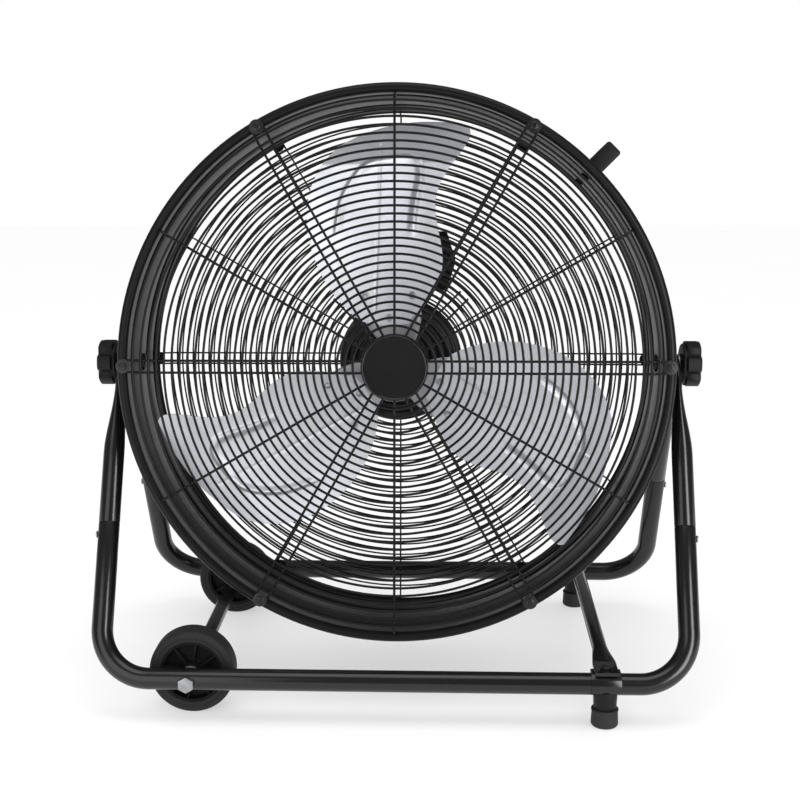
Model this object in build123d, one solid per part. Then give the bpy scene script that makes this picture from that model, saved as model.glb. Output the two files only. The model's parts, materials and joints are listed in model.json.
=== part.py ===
"""Floor-standing drum fan: a tilting drum with a three-blade rotor between two wire grilles,
carried on a wheeled stand of bent steel tube.

Frame: X to the right seen from the front, the fan blows towards -Y, Z is up.
The origin is on the floor, under the middle of the stand. All lengths are millimetres.
"""
from build123d import *
from math import asin, atan2, cos, degrees, hypot, radians, sin, sqrt
import os

# ---- Driving dimensions: stand -------------------------------------------------------------
STAND_WIDTH = 683.0        # between the centre planes of the two side legs
STAND_DEPTH = 380.0        # between the centre lines of the two floor bars
PIVOT_Z = 388.0            # height of the tilt axis
JOINT_Z = 213.0            # height of the plugged joint in each leg
TUBE_D = 25.0              # stand tube
TUBE_WALL = 1.5
CORNER_R = 58.0            # centre-line bend of the floor frames
APEX_R = 40.0              # centre-line bend at the top of each side arch
SPIGOT_LENGTH = 36.0       # reduced arch end that plugs into the floor frame
FLAT_RUN = 85.0            # length over which the arch tube goes from round to flat
FLAT_THICK = 11.0          # flattened apex of the arch, along X
FLAT_WIDE = 33.0
APEX_IN = 3.0              # the flattened apex stands this far inwards of the legs
SCREW_R = 2.0              # sheet metal screws, all over the fan
SCREW_DROP = 14.0          # leg screw below the joint line

# ---- Driving dimensions: wheels and feet ---------------------------------------------------
WHEEL_D = 100.0
WHEEL_X = 237.0            # wheel axle, left of the middle
TYRE_WIDTH = 30.0
TYRE_THICK = 13.0          # radial thickness of the solid rubber tyre
HUB_LENGTH = 34.0
HUB_R = 11.0
WHEEL_RIBS = 8
AXLE_BOLT_R = 5.0
AXLE_TUBE_D = 18.0
WASHER_THICK = 1.6
FOOT_X = 244.0             # feet and cross bar, right of the middle
FOOT_CAP_R = 15.8
FOOT_CAP_HEIGHT = 21.0
FOOT_POST_R = 14.2
SADDLE_LENGTH = 34.0
SADDLE_THICK = 2.0
CROSS_TUBE_D = 18.0
CROSS_END_WIDE = 27.0
CROSS_END_THICK = 4.0
FOOT_BOLT_R = 3.0

# ---- Driving dimensions: drum --------------------------------------------------------------
DRUM_TILT = 7.5            # the drum leans back by this angle at rest, in degrees
RIM_R = 328.5              # outside of the rolled rims
DRUM_DEPTH = 186.0
WALL_R = 318.0             # inside of the barrel
SHEET = 1.5
RIM_INNER_R = 316.5
RIM_ROLL = 9.0             # length of the rolled rim along the axis
RIB_OFFSETS = (-58.0, 22.0, 60.0)   # pressed ribs, from the middle of the barrel
RIB_HEIGHT = 4.0
RIB_HALF = 8.0

# ---- Driving dimensions: grilles -----------------------------------------------------------
WIRE = 3.0                 # thickness of the front wires
REAR_WIRE = 2.2
RING_PITCH = 9.2
REAR_PITCH = 7.0
FIRST_RING_R = 48.5
LAST_RING_R = 306.5
GRILLE_STAND_OFF = 8.0     # from the rim's face to the near side of the radial wires
DOUBLE_GAP = 14.0          # between the two legs of a double wire
EYELET_R = 9.0
EYELET_AT = 320.0
SCREW_FLANGE_R = 8.5       # flange of a front grille screw
CAP_R = 39.5
CAP_DEPTH = 9.0
REAR_FIRST_R = 87.0        # innermost ring of the rear grille

# ---- Driving dimensions: rotor and motor ---------------------------------------------------
TIP_R = 296.0
BLADE_SHEET = 1.5
ROOT_R = 40.0
ROOT_PITCH = 30.0          # blade angle at the root and at the tip, in degrees
TIP_PITCH = 15.0
BLADE_CAMBER_R = 600.0
BLADE_MID_Y = -48.0        # where the blade's middle line crosses, along the drum axis
BEAD_TALL = 2.4            # embossed arch on the blade's front
ARM_SHEET = 3.0
ARM_TIP_R = 98.0
SPIDER_R = 34.0
HUB_HALF = 16.0
RIVET_R = 3.0
RIVET_PLACES = ((20.0, 83.0), (-8.0, 56.0), (-38.0, 82.0))   # across and up from the axis
SHAFT_R = 7.0
MOTOR_R = 72.0
MOTOR_FRONT_Y = 2.0
MOTOR_WALL = 4.0
SHELL_FINS = 3
LUG_R = 7.0                # lugs on the motor's side take its long screws
BEARING_R = 17.5
BEARING_WIDE = 11.0
STATOR_HALF = 20.0
STATOR_BORE = 36.0
STATOR_POLES = 8
ROTOR_GAP = 0.5
MOTOR_SCREWS = 4
MOTOR_SCREW_AT = 52.0
PLATE_R = 80.0             # plate that carries the motor on the rear grille
PLATE_THICK = 3.0
PLATE_ROD_END = 118.0      # rods that spread the motor's weight over the rear grille
CLAMP_R = 62.0
CLAMP_THICK = 2.0

# ---- Driving dimensions: handle, knobs, switch ---------------------------------------------
HANDLE_ANGLE = 45.0        # position round the drum, above the horizontal
HANDLE_TOP_R = 366.0
HANDLE_LENGTH = 98.0
HANDLE_WIDE = 21.0
GRIP_THICK = 15.0
HANDLE_FOOT = 17.0
HANDLE_SCREW_R = 2.5
PIVOT_BOLT_R = 5.0
BRACKET_HALF = 13.0
BRACKET_SHEET = 3.0
KNOB_R = 28.5
KNOB_LENGTH = 24.0
KNOB_LOBES = 6
INSERT_R = 8.0
INSERT_LENGTH = 16.0
BOX_Z = 128.0              # middle of the switch box above the drum's axis
BOX_HALF_WIDE = 72.0
BOX_HALF_TALL = 39.0
BOX_DEPTH = 36.0
BOX_WALL = 2.5
BOX_SLOPE = 12.0           # the box's sides slope out to a ridge
BOX_SCREW_ANGLE = 18.0     # box screws, either side of the top wire
SWITCH_X = 15.0            # switch knob beside the middle of the box
SWITCH_KNOB_R = 16.0
SPINDLE_R = 3.0
GLAND_R = 6.0

# ---- Clearances ----------------------------------------------------------------------------
FIT = 0.05                 # radial, shaft in hole
SEAT = 0.3                 # between faces that lie against each other but must move

BAR_Z = WHEEL_D / 2
TUBE_R = TUBE_D / 2
LEG_X = STAND_WIDTH / 2
HALF = DRUM_DEPTH / 2
HEAD = Pos(0, 0, PIVOT_Z) * Rot(-DRUM_TILT, 0, 0)


# ---- Small helpers -------------------------------------------------------------------------
def rod(start, end, radius):
    """Round bar from one point to another."""
    run = Vector(end) - Vector(start)
    place = Plane(origin=Vector(start), z_dir=run)
    return place * Cylinder(radius, run.length, align=(Align.CENTER, Align.CENTER, Align.MIN))


def pipe(start, end, outer, inner):
    return rod(start, end, outer) - rod(start, end, inner)


def turned(points):
    """Solid of revolution about Y; each point is (radius, y)."""
    return revolve(make_face(Polyline(*points, close=True)), axis=Axis.Y)


def ring_y(outer, inner, y0, y1):
    """Plain ring about the Y axis."""
    return turned([(inner, y0), (outer, y0), (outer, y1), (inner, y1)])


def block(x0, x1, y0, y1, z0, z1):
    return Pos((x0 + x1) / 2, (y0 + y1) / 2, (z0 + z1) / 2) * Box(x1 - x0, y1 - y0, z1 - z0)


def plate_xz(face, y0, y1):
    """Extrude a face drawn in X and Z from y0 to y1."""
    return Pos(0, y1, 0) * extrude(Plane.XZ * face, y1 - y0)


def around(shape, count, start=0.0):
    """Copies spaced evenly round the Y axis."""
    return [Rot(0, start + 360.0 * k / count, 0) * shape for k in range(count)]


def fused(shapes):
    return shapes[0].fuse(*shapes[1:])


parts = {}


def node(name, *solids, place=None):
    """Keep the solids of one named piece, moved to their place."""
    parts[name] = [place * s if place else s for s in solids]


# ---- Stand: floor frames and side arches ---------------------------------------------------
def leg_lean():
    """Angle of the legs from the vertical: the leg runs tangent into the apex bend."""
    rise = PIVOT_Z - APEX_R - BAR_Z
    run = STAND_DEPTH / 2
    return atan2(run, rise) - asin(APEX_R / hypot(run, rise))


LEAN = leg_lean()
LEG_UP = Vector(0, sin(LEAN), cos(LEAN))
JOINT_RUN = (JOINT_Z - BAR_Z) / cos(LEAN)
TANGENT_RUN = sqrt((STAND_DEPTH / 2) ** 2 + (PIVOT_Z - APEX_R - BAR_Z) ** 2 - APEX_R ** 2)
APEX_X = LEG_X - APEX_IN


def leg_point(x, run):
    """Point on a front leg's centre line, measured up from the floor bar."""
    return Vector(x, -STAND_DEPTH / 2, BAR_Z) + LEG_UP * run


def leg_screw_axis(side):
    at = leg_point(side * LEG_X, JOINT_RUN - SCREW_DROP)
    return at, at + Vector(side * (TUBE_R + 10), 0, 0)


def floor_frame():
    """Front floor frame: one tube bent to a wide U, drilled for its bolts and screws."""
    lay = Plane(origin=(0, -STAND_DEPTH / 2, BAR_Z), x_dir=(1, 0, 0), z_dir=(0, -cos(LEAN), sin(LEAN)))
    line = FilletPolyline(
        (-LEG_X, JOINT_RUN), (-LEG_X, 0), (LEG_X, 0), (LEG_X, JOINT_RUN), radius=CORNER_R
    )
    path = lay * line
    start = Plane(origin=path @ 0, z_dir=path % 0)
    tube = sweep(start * (Circle(TUBE_R) - Circle(TUBE_R - TUBE_WALL)), path=path)
    y = -STAND_DEPTH / 2
    tube -= rod((-WHEEL_X, y - TUBE_D, BAR_Z), (-WHEEL_X, y + TUBE_D, BAR_Z), AXLE_BOLT_R + FIT)
    tube -= rod((FOOT_X, y, BAR_Z - TUBE_D), (FOOT_X, y, BAR_Z + TUBE_D), FOOT_BOLT_R + FIT)
    for side in (-1, 1):
        tube -= rod(*leg_screw_axis(side), SCREW_R + FIT)
    return tube


def arch_half(side):
    """Front half of a side arch: plug end, round leg, flattened run and half the apex bend."""
    x = side * LEG_X
    joint = leg_point(x, JOINT_RUN)
    round_end = leg_point(x, TANGENT_RUN - FLAT_RUN)
    bend_start = leg_point(side * APEX_X, TANGENT_RUN)
    plug_r = TUBE_R - TUBE_WALL - FIT
    plug = pipe(joint - LEG_UP * SPIGOT_LENGTH, joint + LEG_UP * TUBE_WALL, plug_r, plug_r - TUBE_WALL)
    leg = rod(joint, round_end, TUBE_R)
    across = Plane(origin=round_end, x_dir=(1, 0, 0), z_dir=LEG_UP)
    at_bend = Plane(origin=bend_start, x_dir=(1, 0, 0), z_dir=LEG_UP)
    flat = at_bend * Ellipse(FLAT_THICK / 2, FLAT_WIDE / 2)
    squeeze = loft([across * Circle(TUBE_R), flat], ruled=True)
    turn = Axis((side * APEX_X, 0, PIVOT_Z - APEX_R), (-1, 0, 0))
    bend = revolve(flat, axis=turn, revolution_arc=90 - degrees(LEAN))
    return fused([plug, leg, squeeze, bend])


def side_arch(side):
    x = side * APEX_X
    half = arch_half(side)
    arch = half.fuse(mirror(half, about=Plane.XZ))
    arch -= rod((x - TUBE_D, 0, PIVOT_Z), (x + TUBE_D, 0, PIVOT_Z), PIVOT_BOLT_R + FIT)
    screw = rod(*leg_screw_axis(side), SCREW_R + FIT)
    return arch - screw - mirror(screw, about=Plane.XZ)


def leg_screw(side):
    """Pan-head screw that pins a leg to the arch's plug end."""
    at, out = leg_screw_axis(side)
    face = at + Vector(side * TUBE_R, 0, 0)
    tip = face - Vector(side * 7, 0, 0)
    return rod(tip, face, SCREW_R) + rod(face, face + Vector(side * 2.2, 0, 0), 4.0)


def make_stand():
    frame = floor_frame()
    node("front_floor_frame", frame)
    node("rear_floor_frame", mirror(frame, about=Plane.XZ))
    node("left_side_arch", side_arch(-1))
    node("right_side_arch", side_arch(1))
    screws = [leg_screw(-1), leg_screw(1)]
    node("leg_screws", *screws, *[mirror(s, about=Plane.XZ) for s in screws])


# ---- Stand: wheels ------------------------------------------------------------------------
BAR_FACE_Y = STAND_DEPTH / 2 - TUBE_R            # inner face of a floor bar, from the middle
HUB_FACE_Y = BAR_FACE_Y - WASHER_THICK - SEAT
HUB_BACK_Y = HUB_FACE_Y - HUB_LENGTH
AXLE_END_Y = HUB_BACK_Y - SEAT - WASHER_THICK
RIM_SEAT_R = WHEEL_D / 2 - TYRE_THICK


def wheel_centre():
    """Moulded wheel centre about the Y axis: hub, web, ribs and the seat for the tyre."""
    seat_half = TYRE_WIDTH / 2 - 2
    hub = ring_y(HUB_R, AXLE_BOLT_R + FIT, -HUB_LENGTH / 2, HUB_LENGTH / 2)
    web = ring_y(RIM_SEAT_R - 1, HUB_R - 1, -2.5, 2.5)
    seat = ring_y(RIM_SEAT_R, RIM_SEAT_R - 3, -seat_half, seat_half)
    rib_length = RIM_SEAT_R - HUB_R
    rib = Pos(0, 0, HUB_R - 1 + rib_length / 2) * Box(2, 2 * seat_half - 5, rib_length)
    return fused([hub, web, seat] + around(rib, WHEEL_RIBS))


def tyre():
    """Solid rubber tyre with rounded shoulders."""
    inner, outer, half = RIM_SEAT_R, WHEEL_D / 2, TYRE_WIDTH / 2
    crown = half - 6
    points = [
        (inner, -half + 1), (inner + 4, -half), (outer - 5, -half), (outer - 1.2, -half + 2.5),
        (outer, -crown), (outer, crown), (outer - 1.2, half - 2.5), (outer - 5, half),
        (inner + 4, half), (inner, half - 1),
    ]
    return turned(points)


def hex_bolt(tip, seat, radius, head_flats, head_height):
    """Hexagon bolt whose head sits at the seat point and whose shank runs to the tip."""
    out = (Vector(seat) - Vector(tip)).normalized()
    lay = Plane(origin=Vector(seat), z_dir=out)
    head = lay * extrude(RegularPolygon(head_flats / 2, 6, major_radius=False), head_height)
    return rod(tip, seat, radius) + head


def make_wheels():
    place = Pos(-WHEEL_X, 0, BAR_Z)
    middle = (HUB_FACE_Y + HUB_BACK_Y) / 2
    for name, side in (("front", -1), ("rear", 1)):
        at = place * Pos(0, side * middle, 0)
        node(f"{name}_wheel", wheel_centre(), place=at)
        node(f"{name}_tyre", tyre(), place=at)
        bolt = hex_bolt(
            (0, side * (AXLE_END_Y - 20), 0), (0, side * (STAND_DEPTH / 2 + TUBE_R), 0), AXLE_BOLT_R, 17, 6.4
        )
        node(f"{name}_axle_bolt", bolt, place=place)
    washer = ring_y(10, AXLE_BOLT_R + FIT, 0, WASHER_THICK)
    starts = (-BAR_FACE_Y, -AXLE_END_Y - WASHER_THICK, AXLE_END_Y, BAR_FACE_Y - WASHER_THICK)
    node("axle_washers", *[Pos(0, y, 0) * washer for y in starts], place=place)
    axle_r = AXLE_TUBE_D / 2
    node("axle_tube", ring_y(axle_r, axle_r - TUBE_WALL, -AXLE_END_Y, AXLE_END_Y), place=place)
    nut = ring_y(axle_r - TUBE_WALL, AXLE_BOLT_R + FIT, 0, 22)
    node("axle_nuts", Pos(0, -AXLE_END_Y, 0) * nut, Pos(0, AXLE_END_Y - 22, 0) * nut, place=place)


# ---- Stand: cross bar and feet -------------------------------------------------------------
SADDLE_TOP = BAR_Z + TUBE_R + SADDLE_THICK
CROSS_Z = SADDLE_TOP + CROSS_END_THICK / 2
FOOT_BOLT_TOP = SADDLE_TOP + CROSS_END_THICK


def cross_bar():
    """Right-hand cross bar: a tube whose two ends are pressed flat over the floor bars."""
    flat_from = STAND_DEPTH / 2 - FOOT_CAP_R - 4
    round_to = flat_from - 42
    radius = CROSS_TUBE_D / 2
    middle = pipe((0, -round_to, 0), (0, round_to, 0), radius, radius - TUBE_WALL)
    ends = []
    for side in (-1, 1):
        round_plane = Plane(origin=(0, side * round_to, 0), x_dir=(1, 0, 0), z_dir=(0, side, 0))
        flat_plane = Plane(origin=(0, side * flat_from, 0), x_dir=(1, 0, 0), z_dir=(0, side, 0))
        flat = flat_plane * Rectangle(CROSS_END_WIDE, CROSS_END_THICK)
        squeeze = loft([round_plane * Circle(radius), flat])
        tongue = extrude(flat, STAND_DEPTH / 2 + FOOT_CAP_R - flat_from - 4)
        ends += [squeeze, tongue]
    bar = fused([middle] + ends)
    for side in (-1, 1):
        y = side * STAND_DEPTH / 2
        bar -= rod((0, y, -10), (0, y, 10), FOOT_BOLT_R + FIT)
    return Pos(FOOT_X, 0, CROSS_Z) * bar


def saddle():
    """Bent clamp strip over the top and outer side of a floor bar; the bar runs along X."""
    half = SADDLE_LENGTH / 2
    band = Rot(0, 90, 0) * (
        Cylinder(TUBE_R + SADDLE_THICK, SADDLE_LENGTH) - Cylinder(TUBE_R, SADDLE_LENGTH)
    )
    band &= block(-half, half, -TUBE_D, TUBE_R / 2, -TUBE_R / 2, TUBE_D)
    pad = block(-half, half, -6, 9, TUBE_R * 0.6, TUBE_R + SADDLE_THICK)
    pad -= Rot(0, 90, 0) * Cylinder(TUBE_R, SADDLE_LENGTH + 2)
    strip = band + pad
    return strip - rod((0, 0, 0), (0, 0, TUBE_D), FOOT_BOLT_R + FIT)


def foot_post():
    """Moulded post that hugs the underside of the bar and carries the rubber cap."""
    top = BAR_Z - TUBE_R / 2 - SEAT
    waist = FOOT_CAP_HEIGHT + 1
    post = turned([
        (0, 6), (FOOT_POST_R - 2, 6), (FOOT_POST_R - 2, waist), (FOOT_POST_R - 1, waist),
        (FOOT_POST_R, top), (0, top),
    ])
    post = Rot(90, 0, 0) * post
    post -= Pos(0, 0, BAR_Z) * Rot(0, 90, 0) * Cylinder(TUBE_R, 4 * FOOT_POST_R)
    return post - rod((0, 0, 15), (0, 0, BAR_Z), FOOT_BOLT_R + FIT)


def foot_cap():
    """Rubber cap with a rounded foot edge, pushed up over the post."""
    inner = FOOT_POST_R - 2
    cap = turned([
        (0, 0), (FOOT_CAP_R - 4, 0), (FOOT_CAP_R - 1.2, 1.2), (FOOT_CAP_R, 4),
        (FOOT_CAP_R, FOOT_CAP_HEIGHT - 1), (FOOT_CAP_R - 1, FOOT_CAP_HEIGHT),
        (inner, FOOT_CAP_HEIGHT), (inner, 6), (0, 6),
    ])
    return Rot(90, 0, 0) * cap


def make_feet():
    node("cross_bar", cross_bar())
    names = ("foot_saddles", "foot_posts", "foot_caps", "foot_bolts")
    bolt = hex_bolt((0, 0, 17), (0, 0, FOOT_BOLT_TOP), FOOT_BOLT_R, 10, 4.0)
    shapes = (Pos(0, 0, BAR_Z) * saddle(), foot_post(), foot_cap(), bolt)
    for name, shape in zip(names, shapes):
        front = Pos(FOOT_X, -STAND_DEPTH / 2, 0) * shape
        node(name, front, mirror(front, about=Plane.XZ))


# ---- Head: drum ---------------------------------------------------------------------------
def barrel_line(radius):
    """One side of the pressed sheet, front to rear, with its ribs standing outwards."""
    line = []
    for offset in RIB_OFFSETS:
        line += [(radius, offset - RIB_HALF), (radius + RIB_HEIGHT, offset), (radius, offset + RIB_HALF)]
    return line


def drum_shell():
    """Barrel of pressed sheet between two rolled rims."""
    outer = WALL_R + SHEET
    rim_back = HALF - RIM_ROLL
    front = [
        (outer, -rim_back + 2), (RIM_R, -rim_back), (RIM_R, -HALF + 1.5), (RIM_R - 1.5, -HALF),
        (RIM_INNER_R, -HALF), (RIM_INNER_R, -rim_back), (WALL_R, -rim_back + 3),
    ]
    rear = [(r, -y) for r, y in reversed(front)]
    shell = turned(front + barrel_line(WALL_R) + rear + barrel_line(outer)[::-1])
    for angle in range(0, 360, 60):
        turn = Rot(0, angle, 0)
        shell -= turn * rod((EYELET_AT, -HALF - 1, 0), (EYELET_AT, -HALF + 10, 0), SCREW_R + FIT)
        shell -= turn * rod((EYELET_AT, HALF - 10, 0), (EYELET_AT, HALF + 1, 0), SCREW_R + FIT)
    for side in (-1, 1):
        shell -= rod((side * (WALL_R - 10), 0, 0), (side * (RIM_R + 5), 0, 0), PIVOT_BOLT_R + FIT)
    for hole in handle_screw_lines():
        shell -= rod(*hole, HANDLE_SCREW_R + FIT)
    return shell


def make_drum():
    node("drum_shell", drum_shell(), place=HEAD)


# ---- Head: pivots --------------------------------------------------------------------------
SPACER_LENGTH = 6.0
BRACKET_FACE = APEX_X - FLAT_THICK / 2 - SPACER_LENGTH      # outer face of the pivot bracket
KNOB_FROM = APEX_X + FLAT_THICK / 2 + WASHER_THICK + 2 * SEAT


def pivot_bracket():
    """Right-hand bracket: a folded channel on the barrel that carries the pivot bolt."""
    low = WALL_R - 12
    channel = block(low, BRACKET_FACE, -BRACKET_HALF, BRACKET_HALF, -34, 34)
    channel -= block(low, BRACKET_FACE - BRACKET_SHEET, -BRACKET_HALF + BRACKET_SHEET,
                     BRACKET_HALF - BRACKET_SHEET, -35, 35)
    channel -= Rot(90, 0, 0) * Cylinder(WALL_R + SHEET, 4 * BRACKET_HALF)
    return channel - rod((low, 0, 0), (BRACKET_FACE + 1, 0, 0), PIVOT_BOLT_R + FIT)


def pivot_bolt():
    """Right-hand pivot bolt: domed head inside the barrel, shank out to the knob."""
    tip = KNOB_FROM + INSERT_LENGTH - 2
    head = turned([(0, 0), (11, 0), (10, 2.6), (6, 4.6), (0, 5)])
    head = Rot(0, 0, 90) * head
    seat = WALL_R - 0.25
    return rod((seat - 1, 0, 0), (tip, 0, 0), PIVOT_BOLT_R) + Pos(seat, 0, 0) * head


def knob():
    """Lobed hand wheel about the Z axis, base at z = 0."""
    core = KNOB_R - 5.0
    lobe_at = KNOB_R - 8.0
    outline = Circle(core)
    for k in range(KNOB_LOBES):
        outline += Rot(0, 0, 360 * k / KNOB_LOBES) * Pos(lobe_at, 0) * Circle(KNOB_R - lobe_at)
    wheel = Pos(0, 0, 6) * extrude(outline, KNOB_LENGTH - 6)
    wheel = chamfer(wheel.faces().sort_by(Axis.Z)[-1].edges(), 2.0)
    neck = Cylinder(12, 2, align=(Align.CENTER, Align.CENTER, Align.MIN))
    disc = Pos(0, 0, 2) * Cylinder(KNOB_R - 4, 4, align=(Align.CENTER, Align.CENTER, Align.MIN))
    bore = Cylinder(INSERT_R, INSERT_LENGTH, align=(Align.CENTER, Align.CENTER, Align.MIN))
    return fused([neck, disc, wheel]) - bore


def make_pivots():
    bolt, bracket = pivot_bolt(), pivot_bracket()
    spacer = pipe((BRACKET_FACE, 0, 0), (APEX_X - FLAT_THICK / 2 - SEAT, 0, 0), 12, PIVOT_BOLT_R + FIT)
    washer_from = APEX_X + FLAT_THICK / 2 + SEAT
    washer = pipe((washer_from, 0, 0), (washer_from + WASHER_THICK, 0, 0), 12, PIVOT_BOLT_R + FIT)
    names = ("pivot_brackets", "pivot_bolts", "pivot_spacers", "pivot_washers")
    for name, shape in zip(names, (bracket, bolt, spacer, washer)):
        node(name, mirror(shape, about=Plane.YZ), shape, place=HEAD)
    insert = pipe((0, 0, 0), (0, 0, INSERT_LENGTH), INSERT_R, PIVOT_BOLT_R + FIT)
    for name, side in (("left", -1), ("right", 1)):
        place = HEAD * Pos(side * KNOB_FROM, 0, 0) * Rot(0, side * 90, 0)
        node(f"{name}_knob", knob(), place=place)
        node(f"{name}_knob_insert", insert, place=place)


# ---- Head: handle --------------------------------------------------------------------------
HANDLE_SCREW_Y = HANDLE_LENGTH / 2 - 10


def handle_screw_lines():
    """Screw axes of the handle, out through the barrel."""
    turn = Rot(0, 90 - HANDLE_ANGLE, 0)
    lines = []
    for y in (-HANDLE_SCREW_Y, HANDLE_SCREW_Y):
        ends = [(turn * Pos(0, y, r)).position for r in (WALL_R - 3, HANDLE_TOP_R - GRIP_THICK)]
        lines.append(ends)
    return lines


def handle():
    """Carrying handle along the barrel: two feet and a rounded grip, drawn at the top of the drum."""
    foot = HANDLE_FOOT
    half = HANDLE_LENGTH / 2
    grip_low = HANDLE_TOP_R - GRIP_THICK
    side = make_face(Polyline(
        (-half, WALL_R - 2), (-half, HANDLE_TOP_R - 6), (-half + 6, HANDLE_TOP_R), (half - 6, HANDLE_TOP_R),
        (half, HANDLE_TOP_R - 6), (half, WALL_R - 2), (half - foot, WALL_R - 2), (half - foot, grip_low - 5),
        (half - foot - 5, grip_low), (-half + foot + 5, grip_low), (-half + foot, grip_low - 5),
        (-half + foot, WALL_R - 2), close=True,
    ))
    body = extrude(Plane.YZ * side, HANDLE_WIDE / 2, both=True)
    tops = body.edges().filter_by(Axis.Y).group_by(Axis.Z)[-1]
    body = fillet(tops, 4.0)
    body -= Rot(90, 0, 0) * Cylinder(WALL_R + SHEET, 2 * HANDLE_LENGTH)
    for y in (-HANDLE_SCREW_Y, HANDLE_SCREW_Y):
        body -= rod((0, y, WALL_R - 5), (0, y, HANDLE_TOP_R - 12), HANDLE_SCREW_R + FIT)
    return body


def make_handle():
    turn = Rot(0, 90 - HANDLE_ANGLE, 0)
    node("handle", turn * handle(), place=HEAD)
    screw = rod((0, 0, WALL_R - 0.3), (0, 0, HANDLE_TOP_R - 14), HANDLE_SCREW_R)
    screw += rod((0, 0, WALL_R - 3.5), (0, 0, WALL_R - 0.3), 5.5)
    screws = [turn * Pos(0, y, 0) * screw for y in (-HANDLE_SCREW_Y, HANDLE_SCREW_Y)]
    node("handle_screws", *screws, place=HEAD)


# ---- Head: grilles -------------------------------------------------------------------------
def ring_sides(radius):
    """Straight chords of a ring: more on the larger rings."""
    if radius < 110:
        return 12
    return 20 if radius < 210 else 28


def wire_ring(radius, wire):
    """Closed ring of wire about Y: flat side at y = 0, edge standing towards -Y."""
    sides = ring_sides(radius)
    crest = Pos(0, 0, wire) * RegularPolygon(radius, sides)
    outer = loft([RegularPolygon(radius + wire / 2, sides), crest], ruled=True)
    inner = loft([RegularPolygon(radius - wire / 2, sides), crest], ruled=True)
    return Rot(90, 0, 0) * (outer - inner)


def single_wire(wire):
    """Radial wire bent back into the rim at its outer end, drawn upwards along Z."""
    out = RIM_INNER_R - SEAT
    back = HALF - 10
    y0 = HALF + GRILLE_STAND_OFF
    y1 = y0 + wire
    side = make_face(Polyline(
        (-y1, 24), (-y1, out - 3), (-y1 + 3, out), (-back, out), (-back, out - wire),
        (-y0, out - wire), (-y0, 24), close=True,
    ))
    return extrude(Plane.YZ * side, wire / 2, both=True)


def double_wire(wire):
    """Hairpin wire whose bend is the screw eyelet on the rim, drawn upwards along Z."""
    y0 = HALF + GRILLE_STAND_OFF
    y1 = y0 + wire
    seat = HALF + wire
    drop_end = EYELET_AT - EYELET_R
    drop_start = drop_end - GRILLE_STAND_OFF + 2
    side = make_face(Polyline(
        (-y1, 24), (-y1, drop_start), (-seat, drop_end), (-seat, EYELET_AT), (-HALF, EYELET_AT),
        (-HALF, drop_end - 2), (-y0, drop_start - 2), (-y0, 24), close=True,
    ))
    leg = extrude(Plane.YZ * side, wire / 2, both=True)
    across = DOUBLE_GAP / 2
    eyelet = Pos(0, 0, EYELET_AT) * ring_y(EYELET_R, SCREW_R + FIT, -seat, -HALF)
    clear = Pos(0, 0, EYELET_AT) * rod((0, -seat - 1, 0), (0, -HALF + 1, 0), SCREW_R + FIT)
    return fused([Pos(-across, 0, 0) * leg, Pos(across, 0, 0) * leg, eyelet]) - clear


def grille_wires(wire, pitch, first):
    """All the wires of one grille, facing -Y: rings lie flat on the radial wires."""
    face_y = -(HALF + GRILLE_STAND_OFF + wire)
    count = int((LAST_RING_R - first) / pitch) + 1
    rings = [Pos(0, face_y, 0) * wire_ring(first + pitch * k, wire) for k in range(count)]
    return rings + around(double_wire(wire), 6, 30.0) + around(single_wire(wire), 6)


WIRE_FRONT_Y = -(HALF + GRILLE_STAND_OFF + WIRE)   # front face of the front radial wires


def grille_screw(wire):
    """Flanged screw through an eyelet into the rim, at the top of the drum, facing -Y."""
    seat = HALF + wire
    under, top = (0, -seat, EYELET_AT), (0, -seat - 1.2, EYELET_AT)
    shank = rod((0, -HALF + 7, EYELET_AT), under, SCREW_R)
    return fused([shank, rod(under, top, SCREW_FLANGE_R), rod(top, (0, -seat - 3.2, EYELET_AT), 4.5)])


def front_cap():
    """Dished cap with a bevelled lip over the middle of the front grille."""
    back = WIRE_FRONT_Y
    front = back - CAP_DEPTH
    return turned([
        (0, back), (CAP_R, back), (CAP_R, back - 3), (CAP_R - 5, front), (CAP_R - 8, front),
        (CAP_R - 12, front + 4), (0, front + 5),
    ]) - rod((0, back + 1, 0), (0, back - 4, 0), SCREW_R + FIT)


def make_grilles():
    node("front_grille", *grille_wires(WIRE, RING_PITCH, FIRST_RING_R), place=HEAD)
    rear = [mirror(w, about=Plane.XZ) for w in grille_wires(REAR_WIRE, REAR_PITCH, REAR_FIRST_R)]
    node("rear_grille", *rear, place=HEAD)
    node("front_grille_screws", *around(grille_screw(WIRE), 6, 30.0), place=HEAD)
    screws = around(mirror(grille_screw(REAR_WIRE), about=Plane.XZ), 6, 30.0)
    node("rear_grille_screws", *screws, place=HEAD)
    node("front_cap", front_cap(), place=HEAD)
    back = WIRE_FRONT_Y + WIRE
    node("front_cap_plate", ring_y(34, SCREW_R + FIT, back, back + 2), place=HEAD)
    screw = rod((0, WIRE_FRONT_Y - 4, 0), (0, back + 2, 0), SCREW_R)
    screw += rod((0, back + 2, 0), (0, back + 4.4, 0), 4.5)
    node("front_cap_screw", screw, place=HEAD)


# ---- Head: motor ---------------------------------------------------------------------------
PLATE_Y = HALF + GRILLE_STAND_OFF - PLATE_THICK     # front face of the motor plate
SPLIT_Y = (MOTOR_FRONT_Y + PLATE_Y) / 2
SHELL_INNER_R = MOTOR_R - MOTOR_WALL


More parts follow.
